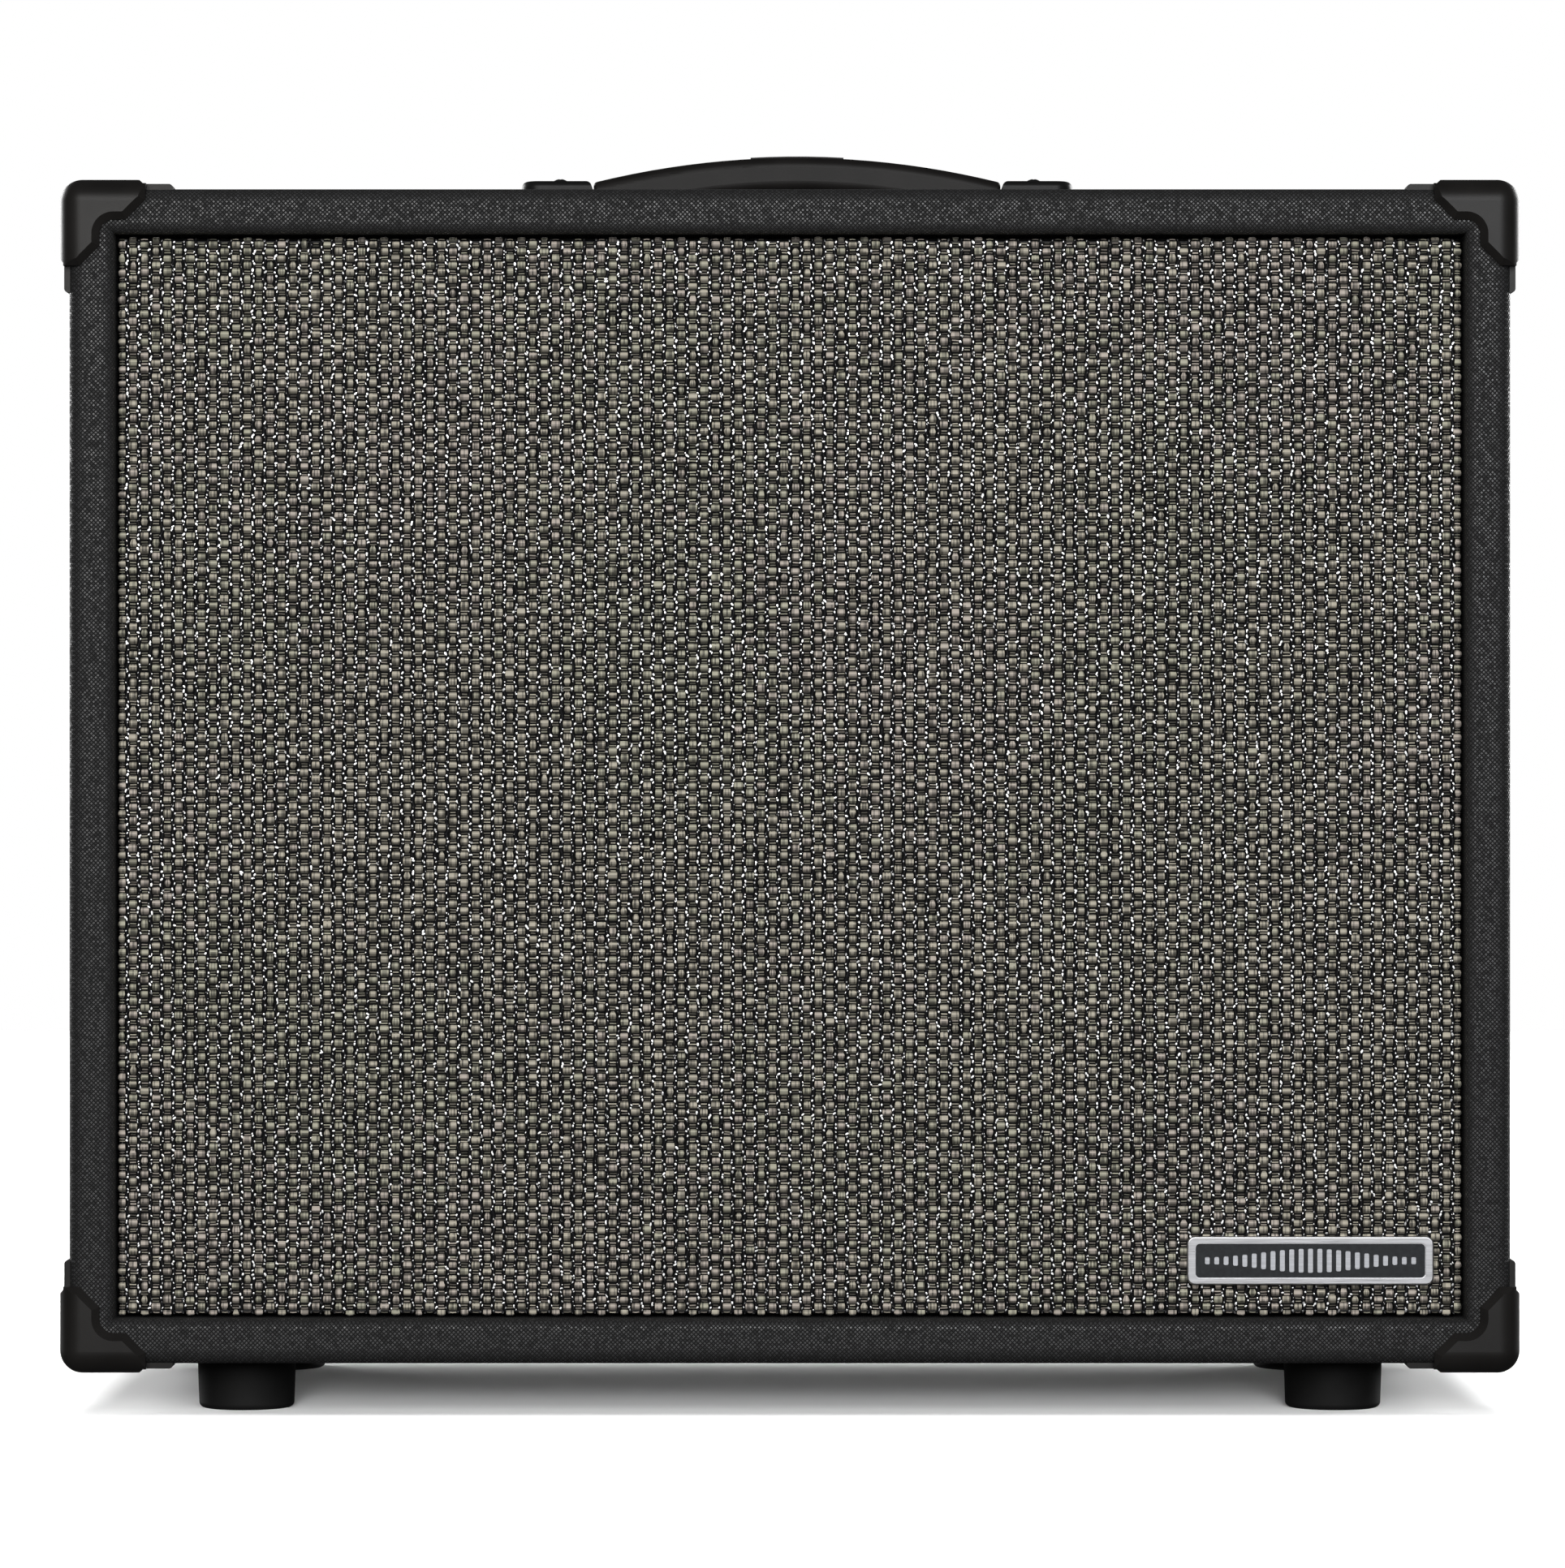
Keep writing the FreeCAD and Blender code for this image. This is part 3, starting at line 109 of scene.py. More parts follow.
def stage_piece(name, bm, material):
    """A piece of the studio that the camera sees, and that throws no light or reflection on the object."""
    mesh = bpy.data.meshes.new(name)
    bm.to_mesh(mesh)
    bm.free()
    mesh.materials.append(material)
    obj = bpy.data.objects.new(name, mesh)
    obj.visible_diffuse = obj.visible_glossy = obj.visible_transmission = obj.visible_shadow = False
    bpy.context.scene.collection.objects.link(obj)
    return obj


def surroundings():
    """A pale floor under a white backdrop, with soft light from both sides of the camera."""
    world = bpy.data.worlds.new("world")
    bpy.context.scene.world = world
    world.use_nodes = True
    background = world.node_tree.nodes["Background"]
    background.inputs["Color"].default_value = (1, 1, 1, 1)
    background.inputs["Strength"].default_value = FILL

    bm = bmesh.new()
    bmesh.ops.create_circle(bm, cap_ends=True, radius=FLOOR_R, segments=96)
    floor = stage_piece("floor", bm, principled("floor_paint", (0.9, 0.9, 0.9), 0.9, spec=0.0)[0])
    bm = bmesh.new()
    bmesh.ops.create_icosphere(bm, subdivisions=4, radius=DOME_R)
    stage_piece("backdrop", bm, glow("backdrop_glow", 1.0))
    bpy.context.scene.view_settings.view_transform = "Standard"

    cool, warm = (0.965, 0.98, 1.0), (1.0, 0.985, 0.96)
    area_light("key_right", (0.65, -2.95, 1.12), (0.1, -0.13, 0.3), KEY_SIZE, 38, cool)
    area_light("key_left", (-0.65, -2.95, 1.12), (-0.1, -0.13, 0.3), KEY_SIZE, 34, warm)
    for side, x in (("left", -2.0), ("right", 2.0)):
        area_light(f"rear_{side}", (x, 2.0, 0.9), (x / 20, 0.1, 0.25), REAR_SIZE, REAR_WATTS)
    floor_light("floor_overhead", 12, 50, 3.2, floor)
    floor_light("floor_skimming", 82, 16, 5.4, floor)


def floor_light(name, tilt, angle, strength, floor):
    """A wide sun, tilted from overhead towards the front, that lights the floor alone."""
    sun = bpy.data.lights.new(name, "SUN")
    sun.energy, sun.angle = strength, math.radians(angle)
    lamp = bpy.data.objects.new(name, sun)
    lamp.rotation_euler = (math.radians(tilt), 0, 0)
    bpy.context.scene.collection.objects.link(lamp)
    only_floor = bpy.data.collections.new(name)
    only_floor.objects.link(floor)
    lamp.light_linking.receiver_collection = only_floor


# ---------------------------------------------------------------- materials
def principled(name, colour, roughness, metallic=0.0, spec=0.5):
    """A new material, its node tree and its shader."""
    m = bpy.data.materials.new(name)
    m.use_nodes = True
    tree = m.node_tree
    bsdf = tree.nodes["Principled BSDF"]
    bsdf.inputs["Base Color"].default_value = (*colour, 1)
    bsdf.inputs["Roughness"].default_value = roughness
    bsdf.inputs["Metallic"].default_value = metallic
    bsdf.inputs["Specular IOR Level"].default_value = spec
    m.diffuse_color = (*colour, 1)
    return m, tree, bsdf


def node(tree, kind, values=(), **settings):
    """A node with its first inputs set. A value can be a number, a colour or another node's output."""
    n = tree.nodes.new("ShaderNode" + kind)
    for key, value in settings.items():
        setattr(n, key, value)
    for i, value in enumerate(values):
        if value is None:
            continue
        if isinstance(value, bpy.types.NodeSocket):
            tree.links.new(value, n.inputs[i])
        else:
            n.inputs[i].default_value = value
    return n


def math_node(tree, operation, *values):
    return node(tree, "Math", values, operation=operation).outputs[0]


def place(tree):
    """A point's place in the row frame."""
    return node(tree, "TexCoord").outputs["Object"]


def scaled(tree, scale):
    """The same place, in cells of a size of its own along each axis if scale has three numbers."""
    n = node(tree, "Mapping", [place(tree)])
    n.inputs["Scale"].default_value = scale if hasattr(scale, "__len__") else (scale,) * 3
    return n.outputs[0]


def noise(tree, scale, detail=2.0, roughness=0.5):
    """Noise from 0 to 1, with scale in cells a metre, or one scale for each axis."""
    n = node(tree, "TexNoise", [scaled(tree, scale)])
    n.inputs["Scale"].default_value = 1.0
    n.inputs["Detail"].default_value = detail
    n.inputs["Roughness"].default_value = roughness
    return n.outputs["Fac"]


def ramp(tree, value, low, high, at=(0.35, 0.65)):
    """A colour from low to high, as value goes from at[0] to at[1]."""
    n = node(tree, "ValToRGB", [value])
    n.color_ramp.elements[0].position, n.color_ramp.elements[1].position = at
    n.color_ramp.elements[0].color = (*low, 1)
    n.color_ramp.elements[1].color = (*high, 1)
    return n.outputs["Color"]


def to_range(tree, value, low, high):
    """A number from low to high, as value goes from 0 to 1."""
    return node(tree, "MapRange", [value, 0.0, 1.0, low, high]).outputs[0]


def bump(tree, bsdf, height, distance, strength):
    n = node(tree, "Bump")
    n.inputs["Strength"].default_value = strength
    n.inputs["Distance"].default_value = distance
    tree.links.new(height, n.inputs["Height"])
    tree.links.new(n.outputs[0], bsdf.inputs["Normal"])


def moulded(name, colour, roughness, grain=2500, depth=0.06 * MM, spec=0.5):
    """Moulded plastic or rubber: a fine spark-eroded grain, and faint clouds in colour and gloss."""
    m, tree, bsdf = principled(name, colour, roughness, spec=spec)
    cloud = noise(tree, 60, 3)
    high = tuple(c * 1.35 for c in colour)
    tree.links.new(ramp(tree, cloud, colour, high), bsdf.inputs["Base Color"])
    fine = noise(tree, grain, 2)
    tree.links.new(to_range(tree, fine, roughness - 0.06, roughness + 0.08), bsdf.inputs["Roughness"])
    bump(tree, bsdf, fine, depth, 0.35)
    return m


def painted(name, colour, roughness):
    """Powder coat over steel."""
    m, tree, bsdf = principled(name, colour, roughness)
    grain = noise(tree, 1600, 2)
    tree.links.new(ramp(tree, grain, colour, tuple(c * 1.5 for c in colour)), bsdf.inputs["Base Color"])
    bump(tree, bsdf, grain, 0.08 * MM, 0.5)
    return m


def metal(name, colour, roughness, stretch=(400, 400, 400)):
    """Plated or brushed metal, with streaks along the axis whose scale is lowest."""
    m, tree, bsdf = principled(name, colour, roughness, metallic=1.0)
    streak = noise(tree, stretch, 3, 0.65)
    low = tuple(c * 0.82 for c in colour)
    tree.links.new(ramp(tree, streak, low, colour), bsdf.inputs["Base Color"])
    tree.links.new(to_range(tree, streak, roughness - 0.07, roughness + 0.1), bsdf.inputs["Roughness"])
    return m


def wood(name, light, dark):
    """Bare or stained board, with its grain along x."""
    m, tree, bsdf = principled(name, light, 0.62)
    grain = noise(tree, (6, 160, 160), 5, 0.6)
    tree.links.new(ramp(tree, grain, dark, light), bsdf.inputs["Base Color"])
    bump(tree, bsdf, grain, 0.2 * MM, 0.4)
    return m


VINYL_PITCH = 1.66 * MM
GROOVE = (0.06, 0.26)       # where a groove's slope starts and ends, in cells


def vinyl():
    """Black covering embossed with a fine cross-hatch at 45 degrees, which leaves small raised cells; its
    colour holds painted shade in the grooves and a painted sheen on the cells.
    """
    m, tree, bsdf = principled("vinyl", (0.01, 0.01, 0.011), 0.42, spec=0.62)
    coords = node(tree, "TexCoord")
    at = node(tree, "SeparateXYZ", [coords.outputs["Object"]]).outputs
    facing = node(tree, "SeparateXYZ", [coords.outputs["Normal"]]).outputs
    nx, ny, nz = (math_node(tree, "ABSOLUTE", f) for f in facing[:3])
    side = math_node(tree, "MULTIPLY", math_node(tree, "GREATER_THAN", nx, ny),
                     math_node(tree, "GREATER_THAN", nx, nz))
    flat = math_node(tree, "MULTIPLY", math_node(tree, "GREATER_THAN", nz, ny),
                     math_node(tree, "GREATER_THAN", nz, nx))
    across = node(tree, "Mix", [side, None, at[0], at[1]]).outputs[0]
    up = node(tree, "Mix", [flat, None, at[2], at[1]]).outputs[0]
    p = math_node(tree, "MULTIPLY", math_node(tree, "ADD", across, up), 1 / VINYL_PITCH)
    q = math_node(tree, "MULTIPLY", math_node(tree, "SUBTRACT", across, up), 1 / VINYL_PITCH)
    warp = to_range(tree, noise(tree, 90, 2), -0.5, 0.5)
    p = math_node(tree, "ADD", p, warp)
    q = math_node(tree, "SUBTRACT", q, warp)
    ridges = []
    for w in (p, q):
        near = math_node(tree, "PINGPONG", w, 0.5)
        ridges.append(node(tree, "MapRange", [near, *GROOVE, 0.0, 1.0],
                           interpolation_type="SMOOTHSTEP").outputs[0])
    height = math_node(tree, "MINIMUM", *ridges)
    cell = node(tree, "CombineXYZ", [math_node(tree, "FLOOR", p), math_node(tree, "FLOOR", q), 0.0])
    chance = node(tree, "TexWhiteNoise", [cell.outputs[0]], noise_dimensions="2D").outputs[0]
    # painted light in the colour: the grooves get painted shade and the raised cells a painted sheen,
    # stronger on some cells at random; the same number also sets the gloss
    level = math_node(tree, "MULTIPLY", height, to_range(tree, chance, 0.25, 1.0))
    colour = ramp(tree, level, (0.001, 0.001, 0.0011), (0.055, 0.055, 0.057), (0.0, 1.0))
    tree.links.new(colour, bsdf.inputs["Base Color"])
    tree.links.new(to_range(tree, level, 0.95, 0.27), bsdf.inputs["Roughness"])
    bump(tree, bsdf, height, 0.12 * MM, 0.8)
    return m


def assign(material, *names):
    """Gives CAD nodes a material."""
    for name in names:
        mesh = NODES[name].data
        mesh.materials.clear()
        mesh.materials.append(material)


def finish_cad_nodes():
    """A material for every CAD node that stays in view."""
    ply = wood("plywood", (0.52, 0.37, 0.21), (0.36, 0.23, 0.12))
    pine = wood("softwood", (0.60, 0.44, 0.25), (0.42, 0.28, 0.14))
    stained = wood("black_board", (0.022, 0.022, 0.024), (0.012, 0.012, 0.013))
    assign(ply, "top_board", "bottom_board", "left_side_board", "right_side_board")
    assign(pine, "battens")
    assign(stained, "baffle_board", "grille_frame", "back_panel")
    assign(vinyl(), "covering")
    guard = moulded("corner_plastic", (0.013, 0.012, 0.0113), 0.40, spec=0.26)
    assign(guard, *[n for n in NODES if n.startswith("corner_") and n != "corner_screws"])
    rubber = moulded("foot_rubber", (0.011, 0.011, 0.011), 0.62, spec=0.16)
    assign(rubber, *[n for n in NODES if n.startswith("foot_") and n != "foot_screws"])
    assign(moulded("grip_rubber", (0.012, 0.011, 0.0105), 0.46, spec=0.2), "handle_strap")
    caps = moulded("cap_plastic", (0.009, 0.009, 0.009), 0.38, spec=0.2)
    assign(caps, "handle_cap_left", "handle_cap_right")
    black_steel = metal("black_steel", (0.06, 0.06, 0.062), 0.38)
    assign(black_steel, "corner_screws", "back_screws", "plate_screws", "speaker_screws", "handle_screws")
    plated = metal("plated_steel", (0.62, 0.62, 0.63), 0.28)
    assign(plated, "foot_screws", "potentiometers", "data_port")
    coat = painted("powder_coat", (0.016, 0.017, 0.019), 0.48)
    assign(coat, "control_plate", "vent_grille")
    assign(metal("zinc_sheet", (0.55, 0.56, 0.58), 0.36), "amp_chassis")
    board = moulded("solder_mask", (0.015, 0.07, 0.03), 0.35)
    assign(board, "main_board", "power_board")
    assign(metal("black_aluminium", (0.05, 0.05, 0.055), 0.42, (20, 400, 400)), "heatsink")
    knob = moulded("knob_plastic", (0.018, 0.018, 0.019), 0.42)
    assign(knob, "volume_knob", "low_cut_knob", "high_cut_knob", "voicing_knob")
    nylon = moulded("socket_nylon", (0.014, 0.014, 0.015), 0.50)
    assign(nylon, "combo_jack", "line_output", "mains_inlet")
    grey = moulded("grey_plastic", (0.25, 0.255, 0.26), 0.38)
    assign(grey, "combo_latch", "ground_button")
    assign(moulded("rocker_plastic", (0.016, 0.016, 0.016), 0.28), "power_rocker")
    lamp, tree, bsdf = principled("lamp_lens", (0.06, 0.75, 0.2), 0.25)
    tree.links.new(ramp(tree, noise(tree, 900, 2), (0.04, 0.6, 0.15), (0.08, 0.85, 0.25)),
                   bsdf.inputs["Base Color"])
    bsdf.inputs["Emission Color"].default_value = (0.1, 0.9, 0.25, 1)
    bsdf.inputs["Emission Strength"].default_value = 0.6
    assign(lamp, "status_lamp")
    assign(painted("basket_paint", (0.02, 0.02, 0.021), 0.45), "speaker_basket", "horn_driver")
    assign(metal("motor_steel", (0.20, 0.20, 0.21), 0.45), "speaker_motor")
    paper = moulded("cone_paper", (0.03, 0.029, 0.027), 0.8, 700, 0.2 * MM)
    assign(paper, "speaker_cone", "speaker_surround")
    assign(moulded("spider_cloth", (0.35, 0.22, 0.08), 0.8, 900, 0.2 * MM), "speaker_spider")
    assign(metal("coil_copper", (0.65, 0.30, 0.16), 0.3), "voice_coil")
    assign(moulded("lead_sleeve", (0.22, 0.02, 0.02), 0.5), "speaker_leads")
    assign(metal("badge_metal", (0.72, 0.72, 0.74), 0.30, (60, 3000, 3000)), "badge_plate")


# ---------------------------------------------------------------- mesh helpers
def array_object(name, verts, faces, materials, index=None):
    """A smooth mesh object from arrays of points and of faces, which all have the same number of sides."""
    mesh = bpy.data.meshes.new(name)
    verts, faces = np.asarray(verts, np.float32), np.asarray(faces, np.int32)
    mesh.vertices.add(len(verts))
    mesh.vertices.foreach_set("co", verts.ravel())
    mesh.loops.add(faces.size)
    mesh.loops.foreach_set("vertex_index", faces.ravel())
    mesh.polygons.add(len(faces))
    mesh.polygons.foreach_set("loop_start", np.arange(len(faces), dtype=np.int32) * faces.shape[1])
    for m in materials:
        mesh.materials.append(m)
    if index is not None:
        mesh.polygons.foreach_set("material_index", np.asarray(index, np.int32))
    mesh.update(calc_edges=True)
    mesh.polygons.foreach_set("use_smooth", np.full(len(faces), True))
    obj = bpy.data.objects.new(name, mesh)
    bpy.context.scene.collection.objects.link(obj)
    return obj


def grid_quads(nu, nv, count):
    """The faces of count grids of nu by nv cells, whose points run u fastest."""
    u, v = np.meshgrid(np.arange(nu), np.arange(nv))
    first = (v * (nu + 1) + u).ravel()
    one = np.stack([first, first + 1, first + nu + 2, first + nu + 1], 1)
    step = np.arange(count)[:, None, None] * ((nu + 1) * (nv + 1))
    return (one[None] + step).reshape(-1, 4)


def grid_points(u, v):
    """Every pair of the stops u and v, as two rows that broadcast against a column of threads."""
    uu, vv = np.meshgrid(u, v)
    return uu.ravel()[None], vv.ravel()[None]


# ---------------------------------------------------------------- grille cloth
CLOTH_LOW, CLOTH_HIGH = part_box("grille_cloth")
CLOTH_EDGE_R = 1.5 * MM                 # bend of the cloth over the frame's edge
COLUMNS = 118                           # ribs
PERIOD = 5.3 * MM                       # from one block of a rib to the next
FIRST = 0.9 * MM                        # from the cloth's side to the middle of the first rib
COLUMN_PITCH = (CLOTH_HIGH.x - CLOTH_LOW.x - 2 * FIRST) / (COLUMNS - 1)
ROWS = int((CLOTH_HIGH.z - CLOTH_LOW.z) / PERIOD) + 1
CLOTH_BASE = CLOTH_LOW.y + 0.7 * MM
SUNK = 0.1 * MM                         # how far the threads' edges lie in the ground
TURNED_BACK = 10.4 * MM                 # the ground past each edge of the frame's face
PAINTED_SHADE_LEVELS = (1.0, 0.60, 0.33, 0.15)        # steps of painted shade for the yarn, also used as random tones of single fibres and lines


def on_cloth(x, z, height):
    """Points at a height over the cloth, with the cloth turned back round the edges of its frame."""
    r = CLOTH_EDGE_R
    y = CLOTH_BASE - height
    out = []
    for value, low, high in ((x, CLOTH_LOW.x, CLOTH_HIGH.x), (z, CLOTH_LOW.z, CLOTH_HIGH.z)):
        over = np.maximum(value - (high - r), 0) - np.maximum((low + r) - value, 0)
        a = np.clip(np.abs(over) / r, 0, math.pi / 2)
        shift = np.sign(over) * ((r + height) * np.sin(a)) - over
        out.append(value + np.where(over == 0, 0, shift))
        y = y + np.where(over == 0, 0, (r + height) * (1 - np.cos(a)))
        y = y + np.maximum(np.abs(over) - r * math.pi / 2, 0)
    return np.stack([out[0], y, out[1]], -1)


def yarn_materials():
    """Beige yarn in three tints, each as lit and shaded copies at four steps of painted shade, which also
    give single fibres their tones.
    """
    tints = ((0.64, 0.59, 0.48), (0.585, 0.565, 0.44), (0.66, 0.585, 0.51))
    made = []
    for t, tint in enumerate(tints):
        for k, level in enumerate(PAINTED_SHADE_LEVELS):
            colour = tuple(c * level for c in tint)
            m, _, bsdf = principled(f"yarn_{t}{k}", colour, 0.62, spec=0.35)
            bsdf.inputs["Sheen Weight"].default_value = 0.25
            bsdf.inputs["Sheen Roughness"].default_value = 0.4
            made.append(m)
    return made


# five waves for each tint, with their two wave numbers per metre and their phase
WAVES = RNG.uniform(-1, 1, (3, 5, 3)) * (42, 42, math.pi)


def dye_lot(x, z):
    """Which of the yarn's tints each thread shows, in soft clouds across the cloth."""
    clouds = [sum(np.sin(a * x + b * z + c) for a, b, c in waves) * 0.16 for waves in WAVES]
    chance = np.stack(clouds, 1) + RNG.uniform(0, 1, (len(x), 3)) + (0.22, 0.0, -0.08)
    return np.argmax(chance, 1)


def two_halves(name, x, verts, nu, nv, index, materials):
    """The threads, each a grid of nu by nv cells, as one mesh for each half of the cloth."""
    order, half = np.argsort(x), len(x) // 2
    verts = verts.reshape(len(x), (nu + 1) * (nv + 1), 3)
    index = index.reshape(len(x), nu * nv)
    parts = []
    for side, chosen in (("left", order[:half]), ("right", order[half:])):
        faces = grid_quads(nu, nv, len(chosen))
        parts.append(array_object(f"{name}_{side}", verts[chosen].reshape(-1, 3), faces, materials,
                                  index[chosen].ravel()))
    return parts


def cloth_blocks(materials):
    """The thick weft where it crosses over a rib: a small satin pillow with upright fibres."""
    col, row = (a.ravel() for a in np.meshgrid(np.arange(COLUMNS), np.arange(ROWS + 1)))
    n = len(col)
    cx = CLOTH_LOW.x + FIRST + col * COLUMN_PITCH + RNG.normal(0, 0.07 * MM, n)
    cz = CLOTH_LOW.z + (row + 0.5 * (col % 2)) * PERIOD + RNG.normal(0, 0.10 * MM, n)
    keep = (cz > CLOTH_LOW.z - 0.5 * MM) & (cz < CLOTH_HIGH.z + 0.5 * MM)
    col, cx, cz = col[keep], cx[keep], cz[keep]
    n = len(cx)
    half_w = RNG.normal(1.50, 0.09, n) * MM
    half_h = RNG.normal(1.42, 0.09, n) * MM
    twisted = RNG.random(n) < 0.14
    top = np.where(twisted, RNG.uniform(0.45, 0.95, n), RNG.uniform(0.92, 1.04, n))
    low = np.where(twisted, RNG.uniform(0.45, 0.95, n), RNG.uniform(0.92, 1.04, n))
    half_w = np.where(twisted, half_w * 0.86, half_w)
    half_h = np.where(twisted, half_h * 1.12, half_h)
    rise = RNG.normal(0.95, 0.08, n) * MM
    nu, nv = 5, 5
    uu, vv = grid_points(np.linspace(-1, 1, nu + 1), [-1.0, -0.70, -0.25, 0.20, 0.68, 1.0])
    taper = np.where(vv > 0, 1 + (top[:, None] - 1) * vv, 1 + (low[:, None] - 1) * -vv)
    shape = taper * (1 - 0.06 * vv ** 2)
    x = cx[:, None] + half_w[:, None] * uu * shape
    z = cz[:, None] + half_h[:, None] * (vv - 0.05 * np.abs(uu) * vv)
    dome = np.clip(1 - np.abs(vv) ** 2.2, 0, 1) ** 0.6 * (1 - 0.35 * np.abs(uu) ** 4)
    fibre = RNG.uniform(0.90, 1.06, (n, nu + 1))[:, None, :].repeat(nv + 1, 1).reshape(n, -1)
    h = rise[:, None] * dome * fibre - SUNK
    verts = on_cloth(x.ravel(), z.ravel(), h.ravel())
    tint = dye_lot(cx, cz)
    fibre_level = RNG.choice(3, (n, 1, nu), p=(0.55, 0.33, 0.12))
    # painted shade: each block's rows go darker towards the bottom and are lightest just above the middle, as
    # if lit from above; some rows are a step lighter at random
    painted_shade_by_row = np.array([3, 2, 1, 0, 1])[None, :, None] - (RNG.random((n, nv, 1)) < 0.20)
    level = np.clip(fibre_level + painted_shade_by_row, 0, 3)
    index = tint[:, None, None] * len(PAINTED_SHADE_LEVELS) + level
    return two_halves("cloth_blocks", cx, verts, nu, nv, index, materials)


def cloth_lines(materials):
    """The two fine wefts between the blocks of each rib."""
    col, row, k = (a.ravel() for a in np.meshgrid(np.arange(COLUMNS), np.arange(-1, ROWS + 1), (-1, 1)))
    n = len(col)
    cx = CLOTH_LOW.x + FIRST + col * COLUMN_PITCH + RNG.normal(0, 0.08 * MM, n)
    level = row + 0.5 + 0.5 * (col % 2)
    cz = CLOTH_LOW.z + level * PERIOD + k * 0.50 * MM + RNG.normal(0, 0.05 * MM, n)
    keep = (cz > CLOTH_LOW.z) & (cz < CLOTH_HIGH.z)
    cx, cz = cx[keep], cz[keep]
    n = len(cx)
    half = RNG.normal(1.14, 0.10, n) * MM
    thick = RNG.normal(0.23, 0.03, n) * MM
    tilt = RNG.normal(0, 0.06, n)
    nu, nv = 2, 3
    uu, vv = grid_points(np.linspace(-1, 1, nu + 1), np.linspace(-1, 1, nv + 1))
    x = cx[:, None] + half[:, None] * uu
    z = cz[:, None] + thick[:, None] * vv + tilt[:, None] * half[:, None] * uu * 0.5
    h = 0.32 * MM * (1 - 0.6 * uu ** 2) + thick[:, None] * 0.9 * (1 - np.abs(vv) ** 2) - SUNK
    verts = on_cloth(x.ravel(), z.ravel(), h.ravel())
    # each line takes one of the painted shade steps at random, mostly the middle two
    shade = dye_lot(cx, cz) * len(PAINTED_SHADE_LEVELS) + RNG.choice(4, n, p=(0.10, 0.35, 0.40, 0.15))
    index = shade[:, None].repeat(nu * nv, 1)
    return two_halves("cloth_lines", cx, verts, nu, nv, index, materials)


def gap_line(z, gap):
    """Where the thread in a gap runs: it bows away from the block on either side."""
    phase = 2 * math.pi * (z - CLOTH_LOW.z) / PERIOD
    sign = np.where(gap % 2 == 0, 1.0, -1.0)
    return CLOTH_LOW.x + FIRST + (gap + 0.5) * COLUMN_PITCH + sign * 0.42 * MM * np.cos(phase)


def cloth_warp(material):
    """The black warp in the gaps between ribs."""
    gaps = np.arange(COLUMNS - 1)
    steps = int((CLOTH_HIGH.z - CLOTH_LOW.z) / (PERIOD / 4))
    zs = np.linspace(CLOTH_LOW.z + 0.2 * MM, CLOTH_HIGH.z - 0.2 * MM, steps + 1)
    u = np.linspace(-1, 1, 4)
    g, z, uu = np.meshgrid(gaps, zs, u, indexing="ij")
    x = gap_line(z, g) + uu * 0.52 * MM
    swell = 1 + 0.2 * np.sin(z / PERIOD * 9.0 + g * 1.7)
    h = 0.55 * MM * np.clip(1 - np.abs(uu) ** 2, 0, 1) ** 0.7 * swell
    verts = on_cloth(x.ravel(), z.ravel(), h.ravel() - SUNK)
    return array_object("cloth_warp", verts, grid_quads(3, steps, len(gaps)), [material])


def cloth_glitter(materials):
    """Flakes of the metallic thread that winds round the warp: fans of triangles round a raised middle."""
    sides = 6
    length = CLOTH_HIGH.z - CLOTH_LOW.z
    per_gap = int(length / (1.75 * MM))
    gap, k = (a.ravel() for a in np.meshgrid(np.arange(COLUMNS - 1), np.arange(per_gap)))
    n = len(gap)
    z = CLOTH_LOW.z + (k + RNG.uniform(0.1, 0.9, n)) * length / per_gap
    x = gap_line(z, gap) + RNG.normal(0, 0.16 * MM, n)
    size = RNG.uniform(0.20, 0.46, n) * MM
    stretch = RNG.uniform(1.0, 1.9, n)
    turn = RNG.normal(0, 0.6, n) + math.pi / 2
    a = np.arange(sides) * 2 * math.pi / sides
    lu = size[:, None] * stretch[:, None] * np.cos(a)
    lv = size[:, None] * np.sin(a) * RNG.uniform(0.75, 1.1, (n, sides))
    px = x[:, None] + lu * np.cos(turn)[:, None] - lv * np.sin(turn)[:, None]
    pz = z[:, None] + lu * np.sin(turn)[:, None] + lv * np.cos(turn)[:, None]
    base = RNG.uniform(0.30, 0.55, n) * MM
    px = np.concatenate([px, x[:, None]], 1)
    pz = np.concatenate([pz, z[:, None]], 1)
    pz = np.clip(pz, CLOTH_LOW.z, CLOTH_HIGH.z)
    height = np.repeat(base[:, None], sides + 1, 1)
    height[:, -1] += 0.07 * MM
    verts = on_cloth(px.ravel(), pz.ravel(), height.ravel())
    fan = np.array([(i, (i + 1) % sides, sides) for i in range(sides)])
    triangles = (fan[None] + (np.arange(n) * (sides + 1))[:, None, None]).reshape(-1, 3)
    level = RNG.choice(3, n, p=(0.55, 0.25, 0.20))
    return array_object("cloth_glitter", verts, triangles, materials, level.repeat(sides))


def cloth_backing(material):
    """The ground of the cloth: one sheet across the front, turned back round the frame's four sides."""
    edge = np.linspace(-TURNED_BACK, CLOTH_EDGE_R, 6)
    xs, zs = (np.concatenate([a + edge, np.linspace(a, b, 60)[1:-1], b - edge[::-1]])
              for a, b in ((CLOTH_LOW.x, CLOTH_HIGH.x), (CLOTH_LOW.z, CLOTH_HIGH.z)))
    x, z = np.meshgrid(xs, zs)
    verts = on_cloth(x.ravel(), z.ravel(), np.full(x.size, -SUNK))
    verts[:, 1] = np.minimum(verts[:, 1], CLOTH_HIGH.y)
    return array_object("cloth_ground", verts, grid_quads(len(xs) - 1, len(zs) - 1, 1), [material])


